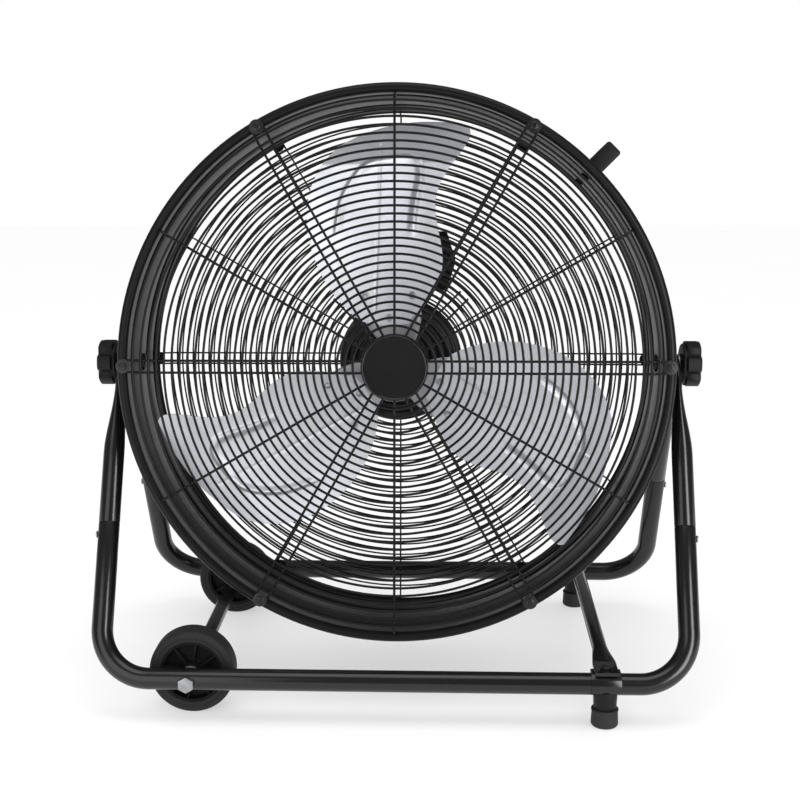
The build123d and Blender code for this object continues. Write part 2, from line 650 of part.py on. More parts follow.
def motor_shell(end_y, fins):
    """Cast cup of the motor, open at y = 0, its closed end with cooling rings at end_y < 0."""
    wall = MOTOR_WALL
    points = [(SHELL_INNER_R, 0), (MOTOR_R, 0), (MOTOR_R, end_y + 6), (MOTOR_R - 6, end_y)]
    radius = MOTOR_R - 10
    for _ in range(fins):
        points += [(radius, end_y), (radius - 1, end_y + 3), (radius - 5, end_y + 3), (radius - 6, end_y)]
        radius -= 10
    boss = BEARING_R + 4
    points += [(boss, end_y), (SHAFT_R + 1, end_y), (SHAFT_R + 1, end_y + wall), (BEARING_R, end_y + wall)]
    points += [(BEARING_R, end_y + wall + BEARING_WIDE), (boss, end_y + wall + BEARING_WIDE)]
    points += [(boss, end_y + wall + 3), (SHELL_INNER_R, end_y + wall + 3)]
    lug_end = end_y + 32
    lug = rod((0, 0, MOTOR_R), (0, lug_end, MOTOR_R), LUG_R) - rod((0, 1, 0), (0, lug_end - 1, 0), MOTOR_R - 1)
    return fused([turned(points)] + around(lug, MOTOR_SCREWS, 45.0))


def stator():
    """Laminated ring of the motor with eight poles."""
    half = STATOR_HALF
    core = ring_y(SHELL_INNER_R, STATOR_BORE + 14, -half, half)
    pole = Pos(0, 0, STATOR_BORE + 8) * Box(12, 2 * half, 18)
    tips = fused([core] + around(pole, STATOR_POLES))
    return tips - ring_y(STATOR_BORE, 1, -half - 1, half + 1)


def winding():
    """Flat copper coil pushed over one pole, drawn at the top."""
    coil = Box(19, 2 * STATOR_HALF + 9, 9) - Box(12.2, 2 * STATOR_HALF + 0.2, 20)
    return Pos(0, 0, STATOR_BORE + 7) * coil


def motor_plate():
    """Plate behind the motor with four pairs of short rods that lie against the rear grille."""
    plate = ring_y(PLATE_R, SHAFT_R + 5, PLATE_Y, PLATE_Y + PLATE_THICK)
    middle_y = PLATE_Y + PLATE_THICK / 2
    across = DOUBLE_GAP / 2
    rods = []
    for x in (-across, across):
        stub = rod((x, middle_y, PLATE_R - 10), (x, middle_y, PLATE_ROD_END), PLATE_THICK / 2)
        rods += around(stub, 4, 45.0)
    return fused([plate] + rods)


def make_motor():
    middle = Pos(0, SPLIT_Y, 0)
    node("motor_front_shell", motor_shell(MOTOR_FRONT_Y - SPLIT_Y, SHELL_FINS), place=HEAD * middle)
    rear = mirror(motor_shell(MOTOR_FRONT_Y - SPLIT_Y, 0), about=Plane.XZ)
    hole = rod((0, 10, MOTOR_SCREW_AT), (0, PLATE_Y, MOTOR_SCREW_AT), SCREW_R + FIT)
    for drilled in around(hole, MOTOR_SCREWS, 45.0):
        rear -= drilled
    node("motor_rear_shell", rear, place=HEAD * middle)
    node("stator", stator(), place=HEAD * middle)
    node("windings", *around(winding(), STATOR_POLES), place=HEAD * middle)
    bearing = ring_y(BEARING_R, SHAFT_R + FIT, 0, BEARING_WIDE)
    front_at = MOTOR_FRONT_Y + MOTOR_WALL
    rear_at = PLATE_Y - MOTOR_WALL - BEARING_WIDE
    node("bearings", Pos(0, front_at, 0) * bearing, Pos(0, rear_at, 0) * bearing, place=HEAD)
    plate = motor_plate()
    clamp = ring_y(CLAMP_R, SHAFT_R + 5, BOX_Y, BOX_Y + CLAMP_THICK)
    hole = rod((0, PLATE_Y - 1, MOTOR_SCREW_AT), (0, BOX_Y + 9, MOTOR_SCREW_AT), SCREW_R + FIT)
    for drilled in around(hole, MOTOR_SCREWS, 45.0):
        plate -= drilled
        clamp -= drilled
    node("motor_plate", plate, place=HEAD)
    node("rear_clamp_plate", clamp, place=HEAD)
    head_y = BOX_Y + CLAMP_THICK
    screw = rod((0, PLATE_Y - 14, MOTOR_SCREW_AT), (0, head_y, MOTOR_SCREW_AT), SCREW_R)
    screw += rod((0, head_y, MOTOR_SCREW_AT), (0, head_y + 3, MOTOR_SCREW_AT), 4.5)
    node("motor_screws", *around(screw, MOTOR_SCREWS, 45.0), place=HEAD)


# ---- Head: switch box on the rear grille ---------------------------------------------------
BOX_Y = HALF + GRILLE_STAND_OFF + REAR_WIRE      # outer side of the rear radial wires
BOX_BASE_Y = BOX_Y + REAR_WIRE                   # outer side of the rear rings


def box_outline(inset):
    """Six-sided outline of the switch box with sloping sides, seen from behind."""
    wide = BOX_HALF_WIDE - inset
    tall = BOX_HALF_TALL - inset
    waist = wide - BOX_SLOPE
    return make_face(Polyline(
        (-waist, -tall), (waist, -tall), (wide, 0), (waist, tall), (-waist, tall), (-wide, 0), close=True
    ))


def switch_box():
    """Moulded switch box: an open cup whose mouth lies on the rear grille."""
    end = BOX_BASE_Y + BOX_DEPTH
    cup = plate_xz(box_outline(0), BOX_BASE_Y, end)
    cup = chamfer(cup.faces().sort_by(Axis.Y)[-1].edges(), 3.0)
    cup -= plate_xz(box_outline(BOX_WALL), BOX_BASE_Y - 1, end - BOX_WALL)
    cup -= rod((SWITCH_X, end - 5, 0), (SWITCH_X, end + 1, 0), SPINDLE_R + 0.5)
    cup -= rod((0, end - 14, 0), (0, end - 14, -2 * BOX_HALF_TALL), GLAND_R)
    for x, z in box_screw_places():
        boss = rod((x, BOX_BASE_Y, z), (x, end - BOX_WALL, z), 5)
        hole = rod((x, BOX_BASE_Y - 1, z), (x, BOX_BASE_Y + 14, z), SCREW_R + FIT)
        cup = cup + boss - hole
    return cup


def box_screw_places():
    """Screws between two rings of the grille, either side of the top wire."""
    steps = round((BOX_Z - REAR_FIRST_R) / REAR_PITCH) + 1
    radius = REAR_FIRST_R + REAR_PITCH * (steps + 0.5)
    turn = radians(BOX_SCREW_ANGLE)
    return [(side * radius * sin(turn), radius * cos(turn) - BOX_Z) for side in (-1, 1)]


def box_screw():
    """Screw with a wide head that holds the box to the grille from inside the drum."""
    head = rod((0, BOX_Y - REAR_WIRE, 0), (0, BOX_Y, 0), REAR_PITCH + 2)
    return head + rod((0, BOX_Y, 0), (0, BOX_BASE_Y + 12, 0), SCREW_R)


def switch_knob():
    """Pointer knob of the speed switch, on the end of its spindle."""
    disc = turned([(0, 0), (SWITCH_KNOB_R, 0), (SWITCH_KNOB_R - 1.5, 5), (0, 5)])
    bar = Pos(0, 9, 0) * Box(8, 9, 2 * SWITCH_KNOB_R - 4)
    bar = fillet(bar.edges().filter_by(Axis.Y), 3.0)
    return disc + bar - rod((0, -1, 0), (0, 9, 0), SPINDLE_R)


def make_switch():
    place = HEAD * Pos(0, 0, BOX_Z)
    end = BOX_BASE_Y + BOX_DEPTH
    inside = end - BOX_WALL
    node("switch_box", switch_box(), place=place)
    node("switch_box_screws", *[Pos(x, 0, z) * box_screw() for x, z in box_screw_places()], place=place)
    body = block(SWITCH_X - 12, SWITCH_X + 12, inside - 18, inside, -14, 14)
    body -= rod((SWITCH_X, inside - 8, 0), (SWITCH_X, inside + 1, 0), SPINDLE_R + FIT)
    node("speed_switch", body, place=place)
    spindle = rod((SWITCH_X, inside - 8 + SEAT, 0), (SWITCH_X, end + SEAT + 9, 0), SPINDLE_R)
    node("switch_spindle", spindle, place=place)
    node("switch_knob", Pos(SWITCH_X, end + SEAT, 0) * switch_knob(), place=place)
    node("capacitor", block(-34, -6, inside - 20, inside, -24, 14), place=place)
    gland = pipe((0, end - 14, 6 - BOX_HALF_TALL), (0, end - 14, -9 - BOX_HALF_TALL), GLAND_R, 3.6)
    collar = pipe((0, end - 14, -BOX_HALF_TALL), (0, end - 14, -4 - BOX_HALF_TALL), 9, 3.6)
    node("cable_gland", gland + collar, place=place)


# ---- Rotor ---------------------------------------------------------------------------------
def pitch_at(radius):
    """Blade angle, easing off from root to tip."""
    along = (radius - ROOT_R) / (TIP_R - ROOT_R)
    return ROOT_PITCH + (TIP_PITCH - ROOT_PITCH) * along


def blade_section(radius, near, far):
    """Cambered strip across the blade; near and far are depths behind its front skin."""
    pitch = radians(pitch_at(radius))
    lay = Plane(origin=(0, BLADE_MID_Y, radius), x_dir=(cos(pitch), -sin(pitch), 0), z_dir=(0, 0, -1))
    spread = radians(14)

    def arc(depth):
        bend = BLADE_CAMBER_R + depth
        across, rise = bend * sin(spread), BLADE_CAMBER_R - bend * cos(spread)
        return ThreePointArc((-across, rise), (0, -depth), (across, rise))

    front, back = arc(near), arc(far)
    ends = [Line(front @ 0, back @ 0), Line(front @ 1, back @ 1)]
    return lay * make_face([front, back] + ends)


def twisted_sheet(near, far):
    """Twisted, cambered sheet from which a blade or an arm is cut."""
    low, high = ROOT_R - 12, TIP_R + 12
    sections = [blade_section(low + (high - low) * k / 4, near, far) for k in range(5)]
    return loft(sections)


def blade_outline():
    """Front view of a blade standing upright: round leading side, hollow trailing side."""
    lead = Spline((-26, 44), (-82, 112), (-110, 200), (-62, 272))
    tip = ThreePointArc((-62, 272), (14, 290), (88, 282))
    trail = Spline((88, 282), (53, 205), (56, 112), (30, 40))
    root = ThreePointArc((30, 40), (2, 46), (-26, 44))
    return make_face([lead, tip, trail, root])


def rivet_line(across, up):
    """Point on the blade's front skin and the direction into the blade."""
    pitch = radians(pitch_at(up))
    chord = across / cos(pitch)
    rise = BLADE_CAMBER_R - sqrt(BLADE_CAMBER_R ** 2 - chord ** 2)
    point = Vector(across - rise * sin(pitch), BLADE_MID_Y - chord * sin(pitch) - rise * cos(pitch), up)
    lean = asin(chord / BLADE_CAMBER_R)
    inward = Vector(sin(pitch + lean), cos(pitch + lean), 0)
    return point, inward


def rivet_hole(place):
    point, inward = rivet_line(*place)
    return rod(point - inward * 10, point + inward * 12, RIVET_R + FIT)


def rivet(place):
    """Flat-headed rivet through blade and arm."""
    point, inward = rivet_line(*place)
    deep = BLADE_SHEET + ARM_SHEET + FIT
    shank = rod(point - inward * 0.6, point + inward * (deep + 2.2), RIVET_R)
    front = rod(point - inward * 2.4, point - inward * 0.6, 2 * RIVET_R)
    return shank + front


def arch_outline(inset):
    """Horseshoe line on the blade, open towards the root."""
    left = Line((-74 + inset, 150), (-70 + inset, 205))
    crown = Spline((-70 + inset, 205), (-24, 246 - inset), (22 - inset, 222))
    right = Line((22 - inset, 222), (16 - inset, 150))
    return [left, crown, right]


def arch_bead():
    """Embossed arch that stiffens the blade, standing out of its front skin."""
    outer, inner = arch_outline(0), arch_outline(7)
    feet = [Line(outer[2] @ 1, inner[2] @ 1), Line(inner[0] @ 0, outer[0] @ 0)]
    face = make_face(outer + inner + feet)
    return twisted_sheet(-BEAD_TALL, BLADE_SHEET / 2) & plate_xz(face, BLADE_MID_Y - 90, BLADE_MID_Y + 90)


def blade():
    sheet = twisted_sheet(0, BLADE_SHEET) & plate_xz(blade_outline(), BLADE_MID_Y - 90, BLADE_MID_Y + 90)
    sheet += arch_bead()
    for place in RIVET_PLACES:
        sheet -= rivet_hole(place)
    return sheet


def spider():
    """Hub with three pitched arms, behind the blades."""
    arm_face = make_face(Polyline(
        (-18, SPIDER_R - 8), (-50, ARM_TIP_R - 22), (-48, ARM_TIP_R - 6), (20, ARM_TIP_R - 2),
        (34, ARM_TIP_R - 14), (20, SPIDER_R - 8), close=True,
    ))
    near = BLADE_SHEET + FIT
    arm = twisted_sheet(near, near + ARM_SHEET) & plate_xz(arm_face, BLADE_MID_Y - 60, BLADE_MID_Y + 60)
    for place in RIVET_PLACES:
        arm -= rivet_hole(place)
    hub = ring_y(SPIDER_R, SHAFT_R + FIT, BLADE_MID_Y - HUB_HALF, BLADE_MID_Y + HUB_HALF)
    return fused([hub] + around(arm, 3))


def make_rotor():
    blade_solid = blade()
    for k in range(3):
        node(f"blade_{k + 1}", Rot(0, 120 * k, 0) * blade_solid, place=HEAD)
    node("spider_hub", spider(), place=HEAD)
    rivets = [s for place in RIVET_PLACES for s in around(rivet(place), 3)]
    node("blade_rivets", *rivets, place=HEAD)
    tip_y = BLADE_MID_Y - HUB_HALF - 12
    shaft_end = PLATE_Y - MOTOR_WALL - SEAT
    node("motor_shaft", rod((0, tip_y, 0), (0, shaft_end, 0), SHAFT_R), place=HEAD)
    nut_lay = Plane(origin=(0, BLADE_MID_Y - HUB_HALF, 0), z_dir=(0, -1, 0))
    nut = nut_lay * extrude(RegularPolygon(11, 6, major_radius=False), 9)
    nut -= rod((0, tip_y - 5, 0), (0, 0, 0), SHAFT_R + FIT)
    node("hub_nut", nut, place=HEAD)
    core = ring_y(STATOR_BORE - ROTOR_GAP, SHAFT_R + FIT, -STATOR_HALF, STATOR_HALF)
    node("rotor_core", core, place=HEAD * Pos(0, SPLIT_Y, 0))


def main():
    make_stand()
    make_wheels()
    make_feet()
    make_drum()
    make_pivots()
    make_handle()
    make_grilles()
    make_motor()
    make_switch()
    make_rotor()
    os.makedirs("parts", exist_ok=True)
    for name, solids in parts.items():
        shape = solids[0] if len(solids) == 1 else Compound(children=solids)
        export_step(shape, f"parts/{name}.step")
    print(len(parts), "nodes")


if __name__ == "__main__":
    main()
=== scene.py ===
# %% [markdown]
# # A drum fan, dressed around its CAD frame
#
# The object is a floor-standing drum fan. A short barrel of black sheet steel holds a motor with three
# pale aluminium blades between two wire grilles. The barrel tilts in a stand of bent tube with two
# wheels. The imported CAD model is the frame: it says where every piece is, and which pieces move together.
# This script models the surfaces that show, gives each a finish, and lets it ride on its body of the
# frame.

# %% Load the frame
import json
import math
import bpy
from mathutils import Matrix, Vector

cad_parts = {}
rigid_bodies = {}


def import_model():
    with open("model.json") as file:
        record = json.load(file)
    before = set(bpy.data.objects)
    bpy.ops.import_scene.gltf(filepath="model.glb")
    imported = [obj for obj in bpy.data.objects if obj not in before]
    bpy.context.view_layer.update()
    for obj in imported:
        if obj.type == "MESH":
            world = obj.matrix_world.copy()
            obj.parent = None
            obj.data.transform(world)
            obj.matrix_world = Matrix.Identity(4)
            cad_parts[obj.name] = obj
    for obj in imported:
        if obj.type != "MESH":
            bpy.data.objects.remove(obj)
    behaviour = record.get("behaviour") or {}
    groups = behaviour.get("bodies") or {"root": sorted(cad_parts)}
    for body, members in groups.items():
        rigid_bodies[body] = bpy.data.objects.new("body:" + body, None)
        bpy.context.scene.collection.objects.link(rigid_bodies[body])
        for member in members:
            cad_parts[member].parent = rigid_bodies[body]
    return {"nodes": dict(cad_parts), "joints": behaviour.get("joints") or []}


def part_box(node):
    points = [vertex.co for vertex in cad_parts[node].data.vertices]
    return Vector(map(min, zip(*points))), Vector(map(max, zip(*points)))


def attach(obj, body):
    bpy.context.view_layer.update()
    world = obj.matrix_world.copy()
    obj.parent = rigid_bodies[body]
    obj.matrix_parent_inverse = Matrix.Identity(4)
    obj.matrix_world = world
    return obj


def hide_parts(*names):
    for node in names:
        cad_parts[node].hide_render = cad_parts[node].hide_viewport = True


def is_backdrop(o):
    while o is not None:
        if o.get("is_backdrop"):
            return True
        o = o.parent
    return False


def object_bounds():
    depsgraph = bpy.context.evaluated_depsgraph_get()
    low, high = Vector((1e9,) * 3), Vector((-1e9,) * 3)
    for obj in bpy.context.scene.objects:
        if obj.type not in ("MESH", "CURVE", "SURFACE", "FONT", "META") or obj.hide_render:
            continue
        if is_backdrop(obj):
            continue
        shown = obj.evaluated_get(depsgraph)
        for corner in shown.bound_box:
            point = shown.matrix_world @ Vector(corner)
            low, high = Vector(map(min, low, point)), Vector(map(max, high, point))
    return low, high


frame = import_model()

cad_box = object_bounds()

# %% [markdown]
# ## Measures
#
# The frame gives the joints, so the tilt axis and the lean of the barrel are read from it and not written
# again. Lengths below are metres. `MM` keeps small sizes readable.

# %% Measures shared by many pieces
MM = 0.001


def moved(x, y, z):
    return Matrix.Translation((x, y, z))


def turned(axis, degrees):
    return Matrix.Rotation(math.radians(degrees), 4, axis)


joints = {joint["name"]: joint for joint in frame["joints"]}
PIVOT = Vector(joints["drum_tilt"]["pos_m"])
FAN_AXIS = Vector(joints["fan_spin"]["axis"])
LEAN_BACK = math.atan2(FAN_AXIS.z, -FAN_AXIS.y)
DRUM = moved(*PIVOT) @ Matrix.Rotation(-LEAN_BACK, 4, "X")
ALONG_Y = turned("X", -90)
FACE_FRONT = turned("X", 90)
MIRROR_Y = Matrix.Scale(-1, 4, (0, 1, 0))
RIM_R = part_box("drum_shell")[1].x
DRUM_HALF = 93 * MM
WALL_R = 318 * MM
TUBE_R = 12.5 * MM
TUBE_EDGE = 0.7 * MM
TUBE_SIDES = 40
print("barrel leans back by", round(math.degrees(LEAN_BACK), 2), "degrees; rim radius", round(RIM_R, 4))

# %% [markdown]
# ## Modelling helpers
#
# A round part is a circle that is extruded and resized ring by ring, which is what a lathe does. A bent
# tube is a circle that is extruded along each straight run and spun round each bend. Both start from a
# primitive with nothing else selected, because an operator works on all that is selected.

# %% Helpers: select, lathe, tube, join, dress
TINY = 1e-5


def nothing_selected():
    bpy.ops.object.select_all(action="DESELECT")


def pick(piece):
    """Selects one piece alone and makes it active."""
    nothing_selected()
    piece.select_set(True)
    bpy.context.view_layer.objects.active = piece


def circle(name, sides, radius, at, turn=(0, 0, 0)):
    nothing_selected()
    bpy.ops.mesh.primitive_circle_add(vertices=sides, radius=radius, location=at, rotation=turn)
    bpy.context.object.name = name
    return bpy.context.object


def edit():
    bpy.ops.object.mode_set(mode="EDIT")
    bpy.ops.mesh.select_all(action="SELECT")


def edit_edges():
    bpy.ops.object.mode_set(mode="EDIT")
    bpy.ops.mesh.select_mode(type="EDGE")
    bpy.ops.mesh.select_all(action="SELECT")


def leave_edit():
    bpy.ops.object.mode_set(mode="OBJECT")


def extrude(x, y, z):
    bpy.ops.mesh.extrude_region_move(TRANSFORM_OT_translate={"value": (x, y, z)})


def resize(x, y, centre):
    bpy.ops.transform.resize(value=(x, y, 1), center_override=centre)


def close_mesh(piece, fill=False):
    """Merges doubles, closes open ends and turns all faces outwards."""
    bpy.ops.mesh.select_all(action="SELECT")
    bpy.ops.mesh.remove_doubles(threshold=4 * TINY)
    if fill:
        bpy.ops.mesh.fill_holes(sides=0)
    bpy.ops.mesh.select_all(action="SELECT")
    bpy.ops.mesh.normals_make_consistent(inside=False)
    leave_edit()
    bpy.ops.object.transform_apply(location=True, rotation=True, scale=True)
    return piece


def lathe(name, profile, sides):
    """Turns a profile of (radius, height) points about Z."""
    radius, height = profile[0]
    piece = circle(name, sides, max(radius, TINY), (0, 0, height))
    edit_edges()
    for (r0, z0), (r1, z1) in zip(profile, profile[1:]):
        grow = max(r1, TINY) / max(r0, TINY)
        extrude(0, 0, z1 - z0)
        resize(grow, grow, (0, 0, z1))
    return close_mesh(piece)


def bent_tube(name, corners, radius, bend, sides=8, steps=6):
    """Tube along straight runs between corners, with a round bend at each inner corner."""
    points = [Vector(c) for c in corners]
    heading = (points[1] - points[0]).normalized()
    piece = circle(name, sides, radius, points[0], heading.to_track_quat("Z", "Y").to_euler())
    edit_edges()
    at = points[0]
    for k in range(1, len(points)):
        last = k == len(points) - 1
        ahead = heading if last else (points[k + 1] - points[k]).normalized()
        turn = heading.angle(ahead)
        setback = bend * math.tan(turn / 2)
        run = points[k] - heading * setback - at
        extrude(*run)
        at = at + run
        if not last:
            axis = heading.cross(ahead).normalized()
            centre = at + axis.cross(heading) * bend
            bpy.ops.mesh.spin(steps=steps, angle=-turn, center=centre, axis=axis)
            at = points[k] + ahead * setback
            heading = ahead
    return close_mesh(piece, fill=True)


def join(name, pieces):
    nothing_selected()
    for piece in pieces:
        piece.select_set(True)
    bpy.context.view_layer.objects.active = pieces[0]
    bpy.ops.object.join()
    pieces[0].name = name
    return pieces[0]


def placed(piece, matrix):
    """Moves the mesh itself. A mirrored mesh has its faces turned outwards again."""
    piece.data.transform(matrix)
    if matrix.determinant() < 0:
        piece.data.flip_normals()
    return piece


def copied(piece, name, matrix):
    """A copy with its own mesh, moved to its place."""
    twin = piece.copy()
    twin.data = piece.data.copy()
    twin.name = name
    bpy.context.scene.collection.objects.link(twin)
    return placed(twin, matrix)


def copies(pattern, name, matrices):
    """Copies of a pattern, which is then removed."""
    twins = [copied(pattern, name, matrix) for matrix in matrices]
    bpy.data.objects.remove(pattern)
    return twins


def around(count, start=0, axis="Y"):
    """Evenly spaced turns about an axis, the first at the start angle."""
    return [turned(axis, start + 360 / count * k) for k in range(count)]


def modified(piece, kind, **settings):
    """Adds one modifier and applies it."""
    pick(piece)
    modifier = piece.modifiers.new(kind.lower(), kind)
    for key, value in settings.items():
        setattr(modifier, key, value)
    bpy.ops.object.modifier_apply(modifier=modifier.name)
    return piece


def rounded(piece, width, segments=2, angle=30):
    return modified(piece, "BEVEL", width=width, segments=segments, limit_method="ANGLE",
                    angle_limit=math.radians(angle))


def dress(piece, body, slot, material, *nodes, smooth=35):
    """Smooth shading, material, body and the CAD nodes that the piece stands for."""
    pick(piece)
    bpy.ops.object.shade_smooth_by_angle(angle=math.radians(smooth))
    piece.data.materials.clear()
    piece.data.materials.append(material)
    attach(piece, body)
    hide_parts(*nodes)
    print(piece.name, len(piece.data.polygons), "faces")


def block(name, low, high):
    """A cube primitive stretched between two corners."""
    nothing_selected()
    low, high = Vector(low), Vector(high)
    bpy.ops.mesh.primitive_cube_add(size=1, location=(low + high) / 2, scale=high - low)
    piece = bpy.context.object
    piece.name = name
    bpy.ops.object.transform_apply(location=True, rotation=True, scale=True)
    return piece


# %% [markdown]
# ## Finishes
#
# Most of the fan wears black powder coat. Sprayed powder melts into a skin with a fine orange-peel ripple
# and is a little uneven in gloss. The ripple and a thin film of settled dust are two node groups, so that
# every finish can use them with its own values.

# %% Node groups: skin ripple and settled dust
COLOUR_A, COLOUR_B, COLOUR_OUT = 6, 7, 2


def add_node(tree, kind, **values):
    """A shader node. Each value is for the socket of that name, or else for the setting."""
    node = tree.nodes.new("ShaderNode" + kind)
    for key, value in values.items():
        socket = key.replace("_", " ")
        if socket in node.inputs:
            node.inputs[socket].default_value = value
        else:
            setattr(node, key, value)
    return node


def connect(tree, *links):
    for source, output, target, socket in links:
        tree.links.new(source.outputs[output], target.inputs[socket])


def new_group(name, inputs, outputs):
    group = bpy.data.node_groups.new(name, "ShaderNodeTree")
    for label, default in inputs:
        socket = group.interface.new_socket(label, in_out="INPUT", socket_type="NodeSocketFloat")
        socket.default_value = default
    for label in outputs:
        group.interface.new_socket(label, in_out="OUTPUT", socket_type="NodeSocketFloat")
    return group, group.nodes.new("NodeGroupInput"), group.nodes.new("NodeGroupOutput")


def ripple_group():
    """Fine ripple of a sprayed or moulded skin: a height, and a slow unevenness from 0 to 1."""
    inputs = [("Scale", 900.0), ("Patch Scale", 18.0)]
    group, start, end = new_group("skin_ripple", inputs, ["Height", "Patches"])
    where = add_node(group, "TexCoord")
    fine = add_node(group, "TexNoise", Detail=2.0, Roughness=0.5)
    slow = add_node(group, "TexNoise", Detail=4.0, Roughness=0.6)
    connect(group, (where, "Object", fine, "Vector"), (where, "Object", slow, "Vector"),
            (start, "Scale", fine, "Scale"), (start, "Patch Scale", slow, "Scale"),
            (fine, "Fac", end, "Height"), (slow, "Fac", end, "Patches"))
    return group


def dust_group():
    """Dust that settles on faces that look up, broken up by noise: a mask from 0 to 1."""
    group, start, end = new_group("settled_dust", [("Amount", 0.3)], ["Mask"])
    shape = add_node(group, "NewGeometry")
    split = add_node(group, "SeparateXYZ")
    up = add_node(group, "MapRange", From_Min=0.35)
    where = add_node(group, "TexCoord")
    noise = add_node(group, "TexNoise", Scale=60.0, Detail=6.0, Roughness=0.7)
    uneven = add_node(group, "Math", operation="MULTIPLY")
    amount = add_node(group, "Math", operation="MULTIPLY")
    connect(group, (shape, "Normal", split, "Vector"), (split, "Z", up, "Value"),
            (where, "Object", noise, "Vector"), (up, "Result", uneven, 0), (noise, "Fac", uneven, 1),
            (uneven, "Value", amount, 0), (start, "Amount", amount, 1), (amount, "Value", end, "Mask"))
    return group


SKIN_RIPPLE = ripple_group()
SETTLED_DUST = dust_group()
print("node groups:", SKIN_RIPPLE.name, SETTLED_DUST.name)

# %% [markdown]
# ## One recipe for coated and moulded surfaces
#
# Each coat has a dark and a light version of its colour, mixed by the slow patches, and a roughness that
# wanders between two values. Dust lightens the colour on top. The ripple goes through a Bump node.

# %% Finish recipe
DUST_COLOUR = (0.12, 0.115, 0.11)


def new_material(name):
    made = bpy.data.materials.new(name)
    made.use_nodes = True
    return made, made.node_tree, made.node_tree.nodes["Principled BSDF"]


def colour_mix(tree, first, second):
    node = add_node(tree, "Mix", data_type="RGBA")
    node.inputs[COLOUR_A].default_value = (*first, 1)
    node.inputs[COLOUR_B].default_value = (*second, 1)
    return node


def finish(name, colour, rough, metal=0.0, ripple=(900.0, 0.02), patch=18.0, shift=0.25, dust=0.15,
           shine=0.5):
    """Principled material with patches, ripple and dust. rough is (lowest, highest)."""
    made, tree, shader = new_material(name)
    skin = add_node(tree, "Group", node_tree=SKIN_RIPPLE, Scale=ripple[0], Patch_Scale=patch)
    powder = add_node(tree, "Group", node_tree=SETTLED_DUST, Amount=dust)
    darker = [c * (1 - shift) for c in colour]
    tint = colour_mix(tree, darker, [min(1, c * (1 + shift)) for c in colour])
    top = colour_mix(tree, colour, DUST_COLOUR)
    gloss = add_node(tree, "MapRange", To_Min=rough[0], To_Max=rough[1])
    bump = add_node(tree, "Bump", Strength=ripple[1], Distance=1 * MM)
    connect(tree, (skin, "Patches", tint, "Factor"), (tint, COLOUR_OUT, top, COLOUR_A),
            (powder, "Mask", top, "Factor"), (top, COLOUR_OUT, shader, "Base Color"),
            (skin, "Patches", gloss, "Value"), (gloss, "Result", shader, "Roughness"),
            (skin, "Height", bump, "Height"), (bump, "Normal", shader, "Normal"))
    shader.inputs["Metallic"].default_value = metal
    shader.inputs["Specular IOR Level"].default_value = shine
    return made


BLACK = (0.0060, 0.0060, 0.0064)
SOOT = (0.0100, 0.0100, 0.0104)
stand_coat = finish("stand_powder_coat", BLACK, (0.17, 0.24), ripple=(700.0, 0.03), dust=0.03)
drum_coat = finish("barrel_powder_coat", BLACK, (0.34, 0.44), ripple=(600.0, 0.05), dust=0.02, shine=0.2)
wire_coat = finish("wire_dip_coat", BLACK, (0.28, 0.38), ripple=(500.0, 0.03), dust=0.01, shine=0.22)
motor_coat = finish("motor_paint", SOOT, (0.45, 0.6), ripple=(500.0, 0.12), dust=0.05)
knob_grain = finish("moulded_black", BLACK, (0.42, 0.55), ripple=(1400.0, 0.18), dust=0.02, shine=0.22)
cap_gloss = finish("cap_gloss_black", BLACK, (0.16, 0.22), ripple=(900.0, 0.02), dust=0.02)
wheel_grain = finish("wheel_moulding", (0.005, 0.005, 0.006), (0.55, 0.7), ripple=(1200.0, 0.15), dust=0.02,
                     shine=0.22)
rubber = finish("tyre_rubber", (0.009, 0.009, 0.009), (0.66, 0.8), ripple=(700.0, 0.25), dust=0.05)
foot_rubber = finish("foot_rubber", (0.012, 0.012, 0.012), (0.62, 0.78), ripple=(700.0, 0.2), dust=0.10)
zinc = finish("zinc_plate", (0.40, 0.405, 0.415), (0.3, 0.5), metal=1.0, ripple=(400.0, 0.08), patch=160.0,
              shift=0.4, dust=0.0)
dark_steel = finish("blackened_steel", (0.020, 0.020, 0.022), (0.28, 0.4), metal=0.5, ripple=(400.0, 0.05),
                    dust=0.04)
brass = finish("turned_brass", (0.72, 0.55, 0.25), (0.25, 0.4), metal=1.0, ripple=(400.0, 0.05), dust=0.0)
cast_metal = finish("cast_aluminium", (0.58, 0.58, 0.61), (0.38, 0.5), metal=0.85, ripple=(350.0, 0.05),
                    patch=60.0, shift=0.08, dust=0.0)
print(len(bpy.data.materials), "materials so far")

# %% [markdown]
# ## Blade aluminium
#
# The blades are stamped from rolled aluminium sheet and lightly brushed, so they are bright, soft in
# reflection and streaked very faintly along the rolling direction. Long thin noise cells give the
# streaks, and they reach only the roughness and the bump.

# %% Finish: blade aluminium
ALONG_GRAIN = (1.0, 1.0, 0.04)
DULLEST = 0.94


def rolled_aluminium(name, colour, rough, metal):
    made, tree, shader = new_material(name)
    where = add_node(tree, "TexCoord")
    stretch = add_node(tree, "Mapping", Scale=ALONG_GRAIN)
    streaks = add_node(tree, "TexNoise", Scale=420.0, Detail=3.0, Roughness=0.6)
    cloud = add_node(tree, "TexNoise", Scale=9.0, Detail=4.0, Roughness=0.55)
    tint = colour_mix(tree, [c * DULLEST for c in colour], colour)
    gloss = add_node(tree, "MapRange", To_Min=rough[0], To_Max=rough[1])
    bump = add_node(tree, "Bump", Strength=0.04, Distance=0.4 * MM)
    connect(tree, (where, "Object", stretch, "Vector"), (stretch, "Vector", streaks, "Vector"),
            (where, "Object", cloud, "Vector"), (cloud, "Fac", tint, "Factor"),
            (tint, COLOUR_OUT, shader, "Base Color"), (streaks, "Fac", gloss, "Value"),
            (gloss, "Result", shader, "Roughness"), (streaks, "Fac", bump, "Height"),
            (bump, "Normal", shader, "Normal"))
    shader.inputs["Metallic"].default_value = metal
    return made


